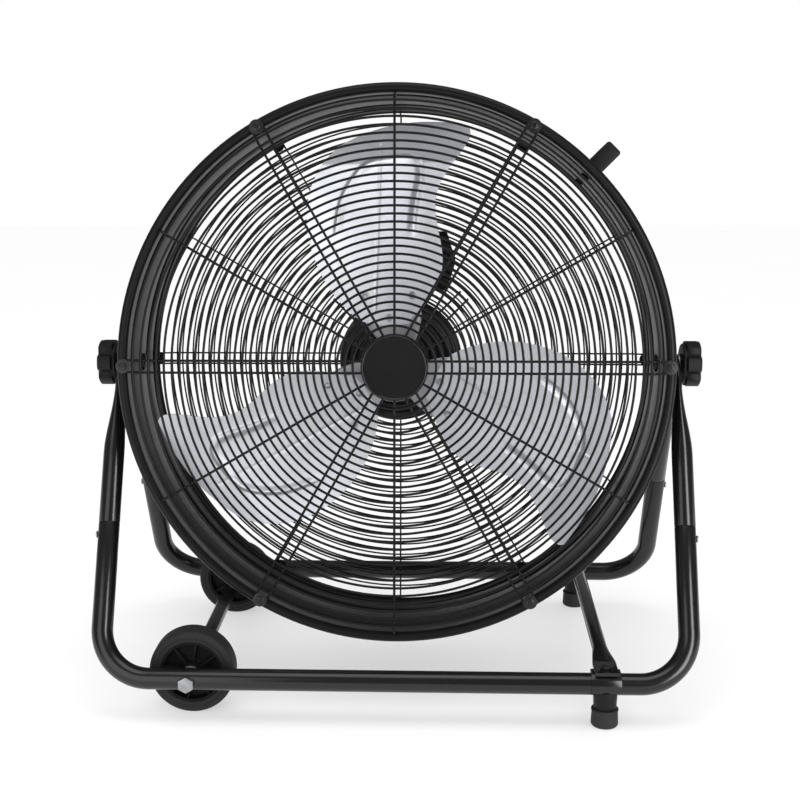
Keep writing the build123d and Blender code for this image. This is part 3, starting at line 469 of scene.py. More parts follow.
blade_metal = rolled_aluminium("blade_aluminium", (0.80, 0.812, 0.865), (0.32, 0.42), 0.74)
rivet_metal = rolled_aluminium("rivet_aluminium", (0.60, 0.61, 0.64), (0.3, 0.4), 0.85)
print(blade_metal.name, rivet_metal.name)

# %% [markdown]
# ## Stand: the two floor frames
#
# Each floor frame is one steel tube bent into a wide U: up the left leg, along the floor bar and up the
# right leg. A tube bender makes such a part with one die, so both bends have the same radius. The U leans
# inwards, so that front and rear legs meet in the arches above.

# %% Floor frames
LEG_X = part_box("front_floor_frame")[1].x - TUBE_R
BAR_Z = 50 * MM
BAR_Y = 190 * MM
CORNER_R = 58 * MM
APEX_R = 40 * MM
JOINT_Z = 213 * MM
RISE = PIVOT.z - APEX_R - BAR_Z
LEAN = math.atan2(BAR_Y, RISE) - math.asin(APEX_R / math.hypot(BAR_Y, RISE))
LEG_UP = Vector((0, math.sin(LEAN), math.cos(LEAN)))
JOINT_RUN = (JOINT_Z - BAR_Z) / math.cos(LEAN)
TANGENT_RUN = math.sqrt(BAR_Y ** 2 + RISE ** 2 - APEX_R ** 2)


def leg_point(x, run):
    return Vector((x, -BAR_Y, BAR_Z)) + LEG_UP * run


def floor_frame():
    ends = [leg_point(-LEG_X, JOINT_RUN), leg_point(LEG_X, JOINT_RUN)]
    corners = [ends[0], leg_point(-LEG_X, 0), leg_point(LEG_X, 0), ends[1]]
    return rounded(bent_tube("front_u_tube", corners, TUBE_R, CORNER_R, TUBE_SIDES, 18), TUBE_EDGE)


front_u = floor_frame()
rear_u = copied(front_u, "rear_u_tube", MIRROR_Y)
dress(front_u, "stand", "stand_paint", stand_coat, "front_floor_frame")
dress(rear_u, "stand", "stand_paint", stand_coat, "rear_floor_frame")

# %% [markdown]
# ## Stand: the side arches
#
# The upper part of each side is a second tube, plugged into both legs. Its top is pressed flat where the
# pivot bolt goes through. The half arch is drawn upright: the ring is extruded up the leg, squeezed flat
# and led a little inwards in eased steps, and spun round the top. Then it is leaned into line with the
# leg and mirrored.

# %% Side arches
FLAT_RUN = 85 * MM
APEX_IN = 3 * MM
FLAT_HALF_THICK = 5.5 * MM
FLAT_HALF_WIDE = 16.5 * MM
FLAT_STEPS = 10
JOINT_GAP = 0.4 * MM


def ease(t):
    return t * t * (3 - 2 * t)


def side_arch(name, side):
    piece = circle(name, TUBE_SIDES, TUBE_R, (0, 0, JOINT_RUN + JOINT_GAP))
    edit_edges()
    extrude(0, 0, TANGENT_RUN - FLAT_RUN - JOINT_RUN - JOINT_GAP)
    thick, wide, inwards = TUBE_R, TUBE_R, 0.0
    for k in range(1, FLAT_STEPS + 1):
        part = ease(k / FLAT_STEPS)
        new_thick = TUBE_R + (FLAT_HALF_THICK - TUBE_R) * part
        new_wide = TUBE_R + (FLAT_HALF_WIDE - TUBE_R) * part
        step = -side * APEX_IN * part - inwards
        inwards += step
        extrude(step, 0, FLAT_RUN / FLAT_STEPS)
        height = TANGENT_RUN - FLAT_RUN + FLAT_RUN * k / FLAT_STEPS
        resize(new_thick / thick, new_wide / wide, (inwards, 0, height))
        thick, wide = new_thick, new_wide
    turn = math.radians(90) - LEAN
    bpy.ops.mesh.spin(steps=14, angle=turn, center=(0, APEX_R, TANGENT_RUN), axis=(1, 0, 0))
    close_mesh(piece)
    placed(piece, moved(side * LEG_X, -BAR_Y, BAR_Z) @ Matrix.Rotation(-LEAN, 4, "X"))
    modified(piece, "MIRROR", use_axis=(False, True, False), use_mirror_merge=True,
             merge_threshold=0.2 * MM)
    pick(piece)
    edit()
    return close_mesh(piece, fill=True)


for side, word in ((-1, "left"), (1, "right")):
    arch = rounded(side_arch(word + "_arch_tube", side), TUBE_EDGE, angle=60)
    dress(arch, "stand", "stand_paint", stand_coat, word + "_side_arch")

# %% [markdown]
# ## Small hardware
#
# Bolts, screws, washers and brackets are plain turned or folded shapes, and the CAD nodes already have
# them. A CAD mesh arrives as loose triangles, so the copy is merged, its flat faces are joined again, and
# its sharp edges get the small radius that rolling or plating leaves on real hardware.

# %% Helper: merged and softened copies of CAD nodes
FLAT_WITHIN = 0.5


def softened(width, body, slot, material, *nodes):
    """Copies of CAD nodes with edges rounded by a width in millimetres, dressed."""
    for node in nodes:
        piece = frame["nodes"][node].copy()
        piece.data = piece.data.copy()
        piece.parent = None
        piece.matrix_world = Matrix.Identity(4)
        piece.name = node + "_finished"
        bpy.context.scene.collection.objects.link(piece)
        pick(piece)
        edit()
        bpy.ops.mesh.remove_doubles(threshold=2 * TINY)
        bpy.ops.mesh.dissolve_limited(angle_limit=math.radians(FLAT_WITHIN))
        leave_edit()
        dress(rounded(piece, width * MM), body, slot, material, node)


# %% Hardware of the stand
softened(0.6, "stand", "zinc_steel", zinc, "leg_screws")
softened(0.25, "stand", "zinc_steel", zinc, "axle_washers")
softened(0.7, "stand", "zinc_steel", zinc, "front_axle_bolt", "rear_axle_bolt")
softened(0.3, "stand", "stand_paint", stand_coat, "axle_tube")
softened(0.5, "stand", "stand_paint", stand_coat, "foot_saddles")
softened(0.4, "stand", "foot_plastic", knob_grain, "foot_posts")
softened(0.5, "stand", "black_steel", dark_steel, "foot_bolts")
softened(0.8, "stand", "stand_paint", stand_coat, "cross_bar")

# %% [markdown]
# ## Feet
#
# A moulded rubber cap is pushed on each post. It is turned with a slightly bulging wall, a rounded sole
# and a small bead at its mouth.

# %% Rubber foot caps
FOOT_X = 244 * MM
FOOT_R = 15.8 * MM
FOOT_TALL = 21 * MM


def steps_from(radius, height, *offsets):
    """Points at offsets in millimetres from a place in the (radius, height) plane."""
    return [(radius + r * MM, height + h * MM) for r, h in offsets]


def arc_points(centre_r, centre_h, radius, start, end, count):
    """Points on an arc in the (radius, height) plane, angles in degrees from outwards."""
    points = []
    for k in range(count + 1):
        turn = math.radians(start + (end - start) * k / count)
        points.append((centre_r + radius * math.cos(turn), centre_h + radius * math.sin(turn)))
    return points


def foot_cap():
    sole = arc_points(FOOT_R - 3.2 * MM, 3.2 * MM, 3.2 * MM, -90, 0, 5)
    mouth = arc_points(FOOT_R - 1.5 * MM, FOOT_TALL - 1.5 * MM, 1.5 * MM, 0, 90, 4)
    waist = steps_from(FOOT_R, FOOT_TALL, (-0.7, -5), (-0.6, -4))
    return lathe("foot_cap", [(0, 0)] + sole + waist + mouth + [(0, FOOT_TALL)], 48)


feet = foot_cap()
rear_foot = copied(feet, "rear_foot_cap", moved(FOOT_X, BAR_Y, 0))
feet = join("foot_caps_finished", [placed(feet, moved(FOOT_X, -BAR_Y, 0)), rear_foot])
dress(feet, "stand", "foot_rubber", foot_rubber, "foot_caps")

# %% [markdown]
# ## Wheels
#
# A solid rubber tyre is stretched over a moulded centre. The centre has a hub, a thin web half way
# through and eight ribs between hub and seat, so that the mould fills evenly. The tyre's side has a
# raised lip next to the seat, and its shoulders are round.

# %% Wheels
WHEEL_X = -237 * MM
TYRE_R = 50 * MM
SEAT_R = 37 * MM
TYRE_HALF = 15 * MM
HUB_R = 11 * MM
BORE_R = 5.05 * MM
HUB_HALF = 17 * MM
WASHER_ROOM = 1.9 * MM
AXLE_FACE = BAR_Y - TUBE_R - WASHER_ROOM - HUB_HALF
WHEEL_RIBS = 8
FIRST_RIB = 10


def both_sides(half_profile):
    """A profile drawn from the middle plane outwards, completed with its mirror image below."""
    return [(r, -h) for r, h in reversed(half_profile)] + half_profile


def tyre_piece(name):
    shoulder = arc_points(TYRE_R - 5 * MM, TYRE_HALF - 5 * MM, 5 * MM, 0, 70, 7)
    side = steps_from(SEAT_R, TYRE_HALF, (6, -0.2), (5, -0.9), (1.2, -0.9), (0, -1.8))
    profile = both_sides([(TYRE_R, 0.5 * MM)] + shoulder + side)
    return lathe(name, profile + profile[:1], 96)


def wheel_piece(name):
    hub = steps_from(BORE_R, HUB_HALF, (0, -0.5), (0.5, 0)) + steps_from(HUB_R, HUB_HALF, (-1, 0), (0, -1))
    foot = arc_points(HUB_R + 3 * MM, 5.5 * MM, 3 * MM, 180, 270, 4)
    rim = arc_points(SEAT_R - 6 * MM, 5.5 * MM, 3 * MM, -90, 0, 4)
    lip = steps_from(SEAT_R, TYRE_HALF, (-3, -3), (-2.4, -2.2), (-0.6, -2.2), (0, -2.8))
    profile = both_sides((hub + foot + rim + lip)[::-1])
    centre = lathe(name, profile + profile[:1], 72)
    ribs = []
    for turn in around(WHEEL_RIBS, FIRST_RIB):
        rib = block("rib", (-1.1 * MM, -11 * MM, HUB_R - 1 * MM), (1.1 * MM, 11 * MM, SEAT_R - 2 * MM))
        ribs.append(placed(rounded(rib, 0.5 * MM), turn))
    return join(name, [placed(centre, ALONG_Y)] + ribs)


for sign, word in ((-1, "front"), (1, "rear")):
    place = moved(WHEEL_X, sign * AXLE_FACE, BAR_Z)
    body = word + "_wheel_set"
    tyre_mesh = placed(tyre_piece(word + "_tyre_finished"), place @ ALONG_Y)
    wheel_mesh = placed(wheel_piece(word + "_wheel_finished"), place)
    dress(tyre_mesh, body, "tyre_rubber", rubber, word + "_tyre", smooth=30)
    dress(wheel_mesh, body, "wheel_plastic", wheel_grain, word + "_wheel")

# %% [markdown]
# ## Barrel
#
# The barrel is a strip of sheet rolled into a hoop, seam welded, and run through ribbing rolls that press
# three shallow beads into it. Its two edges are curled into round rims, which stiffens them and hides the
# cut edge. One closed profile goes up the outside and comes back down the inside, so the sheet keeps its
# real thickness.

# %% Barrel
SHEET = 1.5 * MM
BEAD_R = 6 * MM
RIB_AT = (-58 * MM, 22 * MM, 60 * MM)
RIB_HALF = 8 * MM
RIB_TALL = 4 * MM
RIB_STEPS = 10
CURL_FROM, CURL_TO = 134, 475


def rib_line(radius):
    """Wall line from front to rear with its pressed ribs as smooth waves."""
    line = []
    for middle in RIB_AT:
        for k in range(RIB_STEPS + 1):
            across = -1 + 2 * k / RIB_STEPS
            lift = RIB_TALL * (0.5 + 0.5 * math.cos(math.pi * across))
            line.append((radius + lift, middle + RIB_HALF * across))
    return line


def barrel():
    bead_at = RIM_R - BEAD_R
    edge = DRUM_HALF - BEAD_R
    front_bead = arc_points(bead_at, -edge, BEAD_R, CURL_FROM, CURL_TO, 30)
    rear_bead = [(r, -h) for r, h in reversed(front_bead)]
    outside = rib_line(WALL_R + SHEET)
    inside = rib_line(WALL_R)[::-1]
    profile = front_bead + outside + rear_bead + inside
    return lathe("barrel_finished", profile + profile[:1], 180)


drum = placed(barrel(), DRUM @ ALONG_Y)
dress(drum, "drum", "drum_paint", drum_coat, "drum_shell", smooth=50)

# %% [markdown]
# ## Pivots and hand knobs
#
# The barrel hangs between two folded brackets. A bolt runs from inside the barrel through bracket,
# spacer, arch and washer into a moulded hand knob on each side. The knob is a disc with six finger
# hollows: a circle whose points are drawn in towards the hollows is extruded through the knob's thickness
# and closed with a dished face.

# %% Brackets, bolts, spacers and washers
softened(0.8, "drum", "stand_paint", stand_coat, "pivot_brackets")
softened(0.5, "drum", "black_steel", dark_steel, "pivot_bolts")
softened(0.4, "drum", "black_steel", dark_steel, "pivot_spacers")
softened(0.3, "drum", "zinc_steel", zinc, "pivot_washers")
softened(0.5, "drum", "black_steel", dark_steel, "handle_screws")

# %% Hand knobs
KNOB_R = 28.5 * MM
KNOB_LOBES = 6
KNOB_HOLLOW = 0.19
HOLLOW_CURVE = 1.3
KNOB_SIDES = 96
KNOB_NECK = 6 * MM
KNOB_EDGE = 0.97
KNOB_RINGS = ((1.0, 1.03), (15.0, 1.0), (1.3, 0.955), (0.5, 0.93), (-0.6, 0.62), (-1.2, 0.56),
              (-0.1, 0.001))
KNOB_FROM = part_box("right_knob")[0].x


def hand_knob(name):
    """Lobed disc on a short neck, standing on z = 0."""
    piece = circle(name, KNOB_SIDES, KNOB_R, (0, 0, KNOB_NECK))
    for k, vertex in enumerate(piece.data.vertices):
        hollow = max(0.0, math.cos(KNOB_LOBES * math.tau * k / KNOB_SIDES)) ** HOLLOW_CURVE
        vertex.co.x *= 1 - KNOB_HOLLOW * hollow
        vertex.co.y *= 1 - KNOB_HOLLOW * hollow
    edit_edges()
    height = KNOB_NECK
    resize(KNOB_EDGE, KNOB_EDGE, (0, 0, height))
    for rise, grow in KNOB_RINGS:
        height += rise * MM
        extrude(0, 0, rise * MM)
        resize(grow, grow, (0, 0, height))
    return close_mesh(piece, fill=True)


def knob_neck(name):
    foot = steps_from(0, 0, (0, 0), (12, 0), (12, 2))
    collar = steps_from(KNOB_R, 0, (-5, 2.2), (-4, 3), (-4, 6.4))
    return lathe(name, foot + collar + [(0, 6.4 * MM)], 48)


for side, word in ((-1, "left"), (1, "right")):
    knob = join(word + "_knob_finished", [hand_knob(word + "_grip"), knob_neck(word + "_neck")])
    place = DRUM @ moved(side * KNOB_FROM, 0, 0) @ turned("Y", 90 * side) @ turned("Z", 30)
    dress(placed(knob, place), word + "_tilt_knob", "knob_plastic", knob_grain, word + "_knob")

# %% [markdown]
# ## Carrying handle
#
# A moulded grip with two feet lies along the barrel at the upper right. It starts as one bar. Two cuts
# across it mark where the feet begin, the underside of each end is extruded down to the barrel, and all
# edges are rounded.

# %% Handle
HANDLE_TOP = 366 * MM
HANDLE_HALF = 49 * MM
HANDLE_FOOT = 17 * MM
GRIP = 15 * MM
GRIP_HALF = 10.5 * MM
HANDLE_ANGLE = 45
HANDLE_EDGE = 3.6 * MM
HANDLE_AIR = 1 * MM


def handle_piece():
    low = (-GRIP_HALF, -HANDLE_HALF, HANDLE_TOP - GRIP)
    bar = block("handle_finished", low, (GRIP_HALF, HANDLE_HALF, HANDLE_TOP))
    for y in (-HANDLE_HALF + HANDLE_FOOT, HANDLE_HALF - HANDLE_FOOT):
        edit()
        bpy.ops.mesh.bisect(plane_co=(0, y, 0), plane_no=(0, 1, 0))
    bpy.ops.mesh.select_mode(type="FACE")
    bpy.ops.mesh.select_all(action="DESELECT")
    leave_edit()
    for face in bar.data.polygons:
        face.select = face.normal.z < -0.9 and abs(face.center.y) > HANDLE_HALF - HANDLE_FOOT
    bpy.ops.object.mode_set(mode="EDIT")
    extrude(0, 0, WALL_R + HANDLE_AIR + GRIP - HANDLE_TOP)
    leave_edit()
    return rounded(bar, HANDLE_EDGE, segments=5)


grip = placed(handle_piece(), DRUM @ turned("Y", 90 - HANDLE_ANGLE))
dress(grip, "drum", "handle_plastic", knob_grain, "handle", smooth=40)

# %% [markdown]
# ## Grilles
#
# A grille is wire welded to wire: closed rings lie on radial wires. Each double radial is one hairpin.
# Its bend drops to the rim and becomes the eyelet for a screw. Each single radial is bent back into the
# barrel. Front and rear grille differ in wire thickness, ring spacing and the radius of the first ring.

# %% Grilles
FRONT_WIRE = 3 * MM
REAR_WIRE = 2.2 * MM
STAND_OFF = 8 * MM
EYELET_AT = 320 * MM
HAIRPIN_HALF = 7 * MM
HAIRPIN_BEND = HAIRPIN_HALF - 0.01 * MM
HAIRPIN_DROP = 18 * MM
BENT_BACK_AT = 316.2 * MM
LAST_RING = 306.5 * MM
INNER_END = 24 * MM
RING_SEAT = 1.45
FINE_RING_FROM = 0.15


def ring_wire(radius, thickness, depth):
    nothing_selected()
    bpy.ops.mesh.primitive_torus_add(
        major_segments=96 if radius < FINE_RING_FROM else 144, minor_segments=8, major_radius=radius,
        minor_radius=thickness / 2, location=(0, 0, 0),
    )
    return placed(bpy.context.object, moved(0, depth, 0) @ ALONG_Y)


def hairpin(thickness):
    """Double radial wire, drawn upwards, with the eyelet bend on the rim at the front."""
    high = -(DRUM_HALF + STAND_OFF + thickness / 2)
    low = -(DRUM_HALF + thickness / 2)
    drop = EYELET_AT - HAIRPIN_DROP
    path = ((high, INNER_END), (high, drop), (low, drop + STAND_OFF), (low, EYELET_AT + HAIRPIN_HALF))
    leg = [(HAIRPIN_HALF, y, z) for y, z in path]
    other = [(-x, y, z) for x, y, z in reversed(leg)]
    return bent_tube("hairpin", leg + other, thickness / 2, HAIRPIN_BEND)


def bent_back_wire(thickness):
    """Single radial wire whose outer end is bent back inside the rim."""
    high = -(DRUM_HALF + STAND_OFF + thickness / 2)
    out = BENT_BACK_AT - thickness / 2
    corners = [(0, high, INNER_END), (0, high, out), (0, -DRUM_HALF + 10 * MM, out)]
    return bent_tube("bent_back_wire", corners, thickness / 2, 4 * MM)


def grille(name, thickness, pitch, first_ring):
    """All wires of one grille, facing the front."""
    ring_depth = -(DRUM_HALF + STAND_OFF + RING_SEAT * thickness)
    wires = []
    for k in range(int((LAST_RING - first_ring) / pitch) + 1):
        wires.append(ring_wire(first_ring + pitch * k, thickness, ring_depth))
    wires += copies(hairpin(thickness), "double", around(6, 30))
    wires += copies(bent_back_wire(thickness), "single", around(6))
    return join(name, wires)


front_wires = placed(grille("front_grille_finished", FRONT_WIRE, 9.2 * MM, 48.5 * MM), DRUM)
rear_wires = placed(grille("rear_grille_finished", REAR_WIRE, 7.0 * MM, 87 * MM), DRUM @ MIRROR_Y)
dress(front_wires, "drum", "grille_paint", wire_coat, "front_grille", smooth=60)
dress(rear_wires, "drum", "grille_paint", wire_coat, "rear_grille", smooth=60)

# %% [markdown]
# ## Grille screws
#
# Black screws with a wide flange sit on the eyelets. Flange and head are one turned piece: the flange is
# slightly conical, the head is domed and has a cross recess cut into it.

# %% Grille screws
FLANGE_R = 8.5 * MM
HEAD_R = 4.6 * MM
HEAD_TWIST = 37
CROSS = Vector((2.6, 0.55, 2.05)) * MM


def screw_head(name):
    """Flanged head standing on z = 0, with a cross recess."""
    flange = steps_from(FLANGE_R, 0, (-0.2, 0), (0, 0.2), (0, 0.7), (-0.3, 1))
    flange += steps_from(HEAD_R, 0, (0.3, 1.25), (0, 1.5))
    steps = [math.radians(a) for a in (10, 30, 50, 70, 85)]
    dome = [(HEAD_R * math.cos(a), (2.2 + math.sin(a)) * MM) for a in steps]
    head = lathe(name, [(0, 0)] + flange + dome + [(0, 3.2 * MM)], 40)
    for turn in (0, 90):
        middle = Vector((0, 0, 3.95 * MM))
        cutter = placed(block("cutter", middle - CROSS, middle + CROSS), turned("Z", turn))
        modified(head, "BOOLEAN", operation="DIFFERENCE", object=cutter, solver="EXACT")
        bpy.data.objects.remove(cutter)
    return head


def screw_heads(name, seat_depth, sign):
    """Six heads on the rim circle; sign -1 faces the front, +1 the rear."""
    seat = moved(0, sign * seat_depth, EYELET_AT) @ turned("X", -90 * sign)
    places = [DRUM @ turn @ seat @ turned("Z", HEAD_TWIST * k) for k, turn in enumerate(around(6, 30))]
    return join(name, copies(screw_head("screw_head"), "head", places))


front_heads = screw_heads("front_grille_screw_heads", DRUM_HALF + FRONT_WIRE, -1)
rear_heads = screw_heads("rear_grille_screw_heads", DRUM_HALF + REAR_WIRE, 1)
dress(front_heads, "drum", "black_steel", dark_steel, "front_grille_screws")
dress(rear_heads, "drum", "black_steel", dark_steel, "rear_grille_screws")

# %% [markdown]
# ## Front cap
#
# A moulded cap covers the inner ends of the wires. Its face is a wide, very shallow dish inside a thin
# rounded lip, and the side below the lip falls steeply to the grille.

# %% Front cap
CAP_R = 39.5 * MM
CAP_TALL = 9 * MM
LIP_R = 1.0 * MM
CAP_SEAT = DRUM_HALF + STAND_OFF + FRONT_WIRE


def cap_piece():
    lip = arc_points(CAP_R - 2.6 * MM, CAP_TALL - LIP_R, LIP_R, 40, 150, 8)
    skirt = steps_from(CAP_R, 0, (0, 0), (0, 3.6), (-0.4, 4.6))
    slope = steps_from(CAP_R, CAP_TALL, (-4.2, -1.5))
    middle = steps_from(0, CAP_TALL, (15.8, -1.9), (0, -2))
    return lathe("front_cap_finished", [(0, 0)] + skirt + lip + slope + middle, 96)


cap = placed(cap_piece(), DRUM @ moved(0, -CAP_SEAT, 0) @ FACE_FRONT)
dress(cap, "drum", "cap_plastic", cap_gloss, "front_cap", smooth=28)
softened(0.3, "drum", "black_steel", dark_steel, "front_cap_plate", "front_cap_screw")

# %% [markdown]
# ## Motor
#
# The motor is two cast cups bolted mouth to mouth. Concentric cooling rings stand on the front cup, the
# rear cup is plain, and four lugs on the side of each take the long screws. It hangs on a plate at the
# rear grille, dark behind the blades.

# %% Motor
MOTOR_R = 72 * MM
MOTOR_FRONT = 2 * MM
PLATE_Y = 98 * MM
SPLIT = (MOTOR_FRONT + PLATE_Y) / 2
LUG_R = 7 * MM
LUG_LONG = 16 * MM


def motor_cup(name, tall, fins):
    """Cup whose closed end, with its cooling rings, is at the height `tall`."""
    profile = [(0, 2 * MM)] + steps_from(MOTOR_R, 0, (-4, 2), (-4, 0), (0, 0))
    profile += arc_points(MOTOR_R - 6 * MM, tall - 6 * MM, 6 * MM, 0, 90, 6)
    radius = MOTOR_R - 10 * MM
    for _ in range(fins):
        profile += steps_from(radius, tall, (0, 0), (-1, -3), (-5, -3), (-6, 0))
        radius -= 10 * MM
    profile += steps_from(0, tall, (21.5, 0), (9, 0), (8, -3), (0, -3))
    return rounded(lathe(name, profile, 96), 0.5 * MM)


def motor_lugs(name):
    shoulder = LUG_LONG - 1.5 * MM
    profile = [(0, 0), (LUG_R, 0), (LUG_R, shoulder), (LUG_R - 1.5 * MM, LUG_LONG), (0, LUG_LONG)]
    pattern = placed(lathe("lug", profile, 24), moved(MOTOR_R, 0, 0))
    return join(name, copies(pattern, "lug", around(4, 45, "Z")))


DEEP = SPLIT - MOTOR_FRONT
for word, fins, turn in (("front", 3, FACE_FRONT), ("rear", 0, ALONG_Y)):
    cup = join(f"motor_{word}_finished", [motor_cup("cup", DEEP, fins), motor_lugs("lugs")])
    placed(cup, DRUM @ moved(0, SPLIT, 0) @ turn)
    dress(cup, "drum", "motor_paint", motor_coat, f"motor_{word}_shell")
softened(0.5, "drum", "stand_paint", stand_coat, "motor_plate", "rear_clamp_plate")
softened(0.5, "drum", "zinc_steel", zinc, "motor_screws")

# %% [markdown]
# ## Switch box
#
# A moulded box behind the rear grille holds the speed switch. It is a block cut once at half its height.
# Its top and bottom are made narrower than the cut, so it is six-sided, and its edges are rounded as the
# mould needs.

# %% Switch box, knob and gland
BOX_Z = 128 * MM
BOX_BACK = DRUM_HALF + STAND_OFF + 2 * REAR_WIRE
BOX_DEEP = 36 * MM
BOX_WIDE = 72 * MM
BOX_TALL = 39 * MM
BOX_SLOPE = 12 * MM
SWITCH_X = 15 * MM


def box_shell():
    low, high = (-BOX_WIDE, BOX_BACK, -BOX_TALL), (BOX_WIDE, BOX_BACK + BOX_DEEP, BOX_TALL)
    piece = block("switch_box_finished", low, high)
    edit()
    bpy.ops.mesh.bisect(plane_co=(0, 0, 0), plane_no=(0, 0, 1))
    leave_edit()
    for vertex in piece.data.vertices:
        if abs(vertex.co.z) > BOX_TALL / 2:
            vertex.co.x *= 1 - BOX_SLOPE / BOX_WIDE
    return rounded(piece, 4 * MM, segments=4, angle=20)


def switch_knob():
    disc = steps_from(0, 0, (0, 0), (16, 0), (16, 1.5), (14.6, 5), (0, 5.6))
    bar = block("pointer", (-4 * MM, -14 * MM, 3 * MM), (4 * MM, 14 * MM, 13.5 * MM))
    return join("switch_knob_finished", [lathe("dial", disc, 64), rounded(bar, 2.4 * MM, segments=4)])


box_place = DRUM @ moved(0, 0, BOX_Z)
dial_place = box_place @ moved(SWITCH_X, BOX_BACK + BOX_DEEP + 0.3 * MM, 0) @ ALONG_Y
dress(placed(box_shell(), box_place), "drum", "switch_plastic", knob_grain, "switch_box", smooth=40)
dress(placed(switch_knob(), dial_place), "speed_knob", "knob_plastic", cap_gloss, "switch_knob")
softened(0.6, "drum", "switch_plastic", knob_grain, "cable_gland")
softened(0.4, "drum", "zinc_steel", zinc, "switch_box_screws")

# %% [markdown]
# ## Blades
#
# Each blade is a flat blank that a press tool twists, cambers and embosses. The blank's outline has a
# round leading side and a hollow trailing side. A grid primitive is fitted between the four sides of that
# outline, and then every point is pressed onto the tool's surface: pitch falls from root to tip, the
# section is an arc, an embossed arch stiffens the middle, one fold line runs up from the root, and beyond
# the arch the tip is set back. The arch is steep on its outside, runs gently into the sheet on its inside
# and dies out at its feet. Solidify gives the sheet its thickness and Bevel breaks its edges.

# %% The press tool: pitch, camber, embossed arch and fold line
ROOT_R = 40 * MM
TIP_R = 296 * MM
ROOT_PITCH = math.radians(30)
TIP_PITCH = math.radians(15)
CAMBER_R = 600 * MM
BLADE_MID = -48 * MM
BLADE_SHEET = 1.5 * MM
SHEET_EDGE = 0.35 * MM
FIT_ROUNDS = 4
ARCH_OUTSIDE = 4.6 * MM
ARCH_INSIDE = 9 * MM
ARCH_TALL = 3.4 * MM
ARCH_FOOT = 150 * MM
ARCH_RUN_OUT = 24 * MM
FOLD = ((-26 * MM, 66 * MM), (-19 * MM, 262 * MM))
FOLD_HALF = 2.2 * MM
FOLD_DEEP = 0.8 * MM
SET_BACK_FROM = 240 * MM
SET_BACK = 0.22


def pitch_at(radius):
    return ROOT_PITCH + (TIP_PITCH - ROOT_PITCH) * (radius - ROOT_R) / (TIP_R - ROOT_R)


def through(points, t):
    """Smooth curve through a few points, t from 0 to 1, spaced by the distances between them."""
    knots = [0.0]
    for a, b in zip(points, points[1:]):
        knots.append(knots[-1] + math.dist(a, b))
    at = t * knots[-1]
    x = z = 0.0
    for i, (px, pz) in enumerate(points):
        weight = 1.0
        for j, knot in enumerate(knots):
            if j != i:
                weight *= (at - knot) / (knots[i] - knot)
        x += px * weight
        z += pz * weight
    return x * MM, z * MM


def eased(points, rounds):
    """Cuts every inner corner of a line a few times, so that it runs smoothly between its two ends."""
    for _ in range(rounds):
        line = [points[0]]
        for (ax, az), (bx, bz) in zip(points, points[1:]):
            line.append((0.75 * ax + 0.25 * bx, 0.75 * az + 0.25 * bz))
            line.append((0.25 * ax + 0.75 * bx, 0.25 * az + 0.75 * bz))
        points = line + [points[-1]]
    return points


ARCH_CORNERS = ((-75, 156), (-70, 192), (-57, 219), (-36, 242), (-6, 246), (20, 247), (33, 231),
                (23, 192), (20, 156))
ARCH_LINE = [(x * MM, z * MM) for x, z in eased(ARCH_CORNERS, 2)]


def distance_to(line, x, z):
    """Shortest distance to a line of straight pieces: positive on its right-hand side, else negative."""
    nearest = 1.0
    for (ax, az), (bx, bz) in zip(line, line[1:]):
        run_x, run_z = bx - ax, bz - az
        part = ((x - ax) * run_x + (z - az) * run_z) / (run_x ** 2 + run_z ** 2)
        part = min(1.0, max(0.0, part))
        away = math.hypot(x - ax - part * run_x, z - az - part * run_z)
        if away < abs(nearest):
            nearest = math.copysign(away, run_z * (x - ax) - run_x * (z - az))
    return nearest


def swell(distance, half):
    """A smooth ridge across its half width, from 1 in the middle to 0."""
    return 0.5 + 0.5 * math.cos(math.pi * min(1.0, abs(distance) / half))


def pressed(x, z):
    """How far the tool pushes the sheet forwards at (x, z)."""
    inwards = distance_to(ARCH_LINE, x, z)
    run_out = 1 - swell(max(0.0, z - ARCH_FOOT), ARCH_RUN_OUT)
    arch = ARCH_TALL * run_out * swell(inwards, ARCH_INSIDE if inwards > 0 else ARCH_OUTSIDE)
    fold = FOLD_DEEP * swell(distance_to(FOLD, x, z), FOLD_HALF)
    beyond = max(0.0, z - SET_BACK_FROM)
    return arch - fold - SET_BACK * beyond


def on_sheet(x, z, depth=0.0, embossed=True):
    """Point of the twisted sheet that is seen at (x, z) from the front."""
    pitch = pitch_at(z)
    chord = x / math.cos(pitch)
    for _ in range(FIT_ROUNDS):
        rise = CAMBER_R - math.sqrt(CAMBER_R ** 2 - chord ** 2)
        chord = (x + rise * math.sin(pitch)) / math.cos(pitch)
    raised = pressed(x, z) if embossed else 0.0
    return Vector((x, BLADE_MID - chord * math.sin(pitch) - rise * math.cos(pitch) - raised + depth, z))


def facing(x, z):
    """Direction out of the sheet's front at (x, z)."""
    step = 1 * MM
    here = on_sheet(x, z, embossed=False)
    along = on_sheet(x + step, z, embossed=False) - here
    upwards = on_sheet(x, z + step, embossed=False) - here
    return along.cross(upwards).normalized()


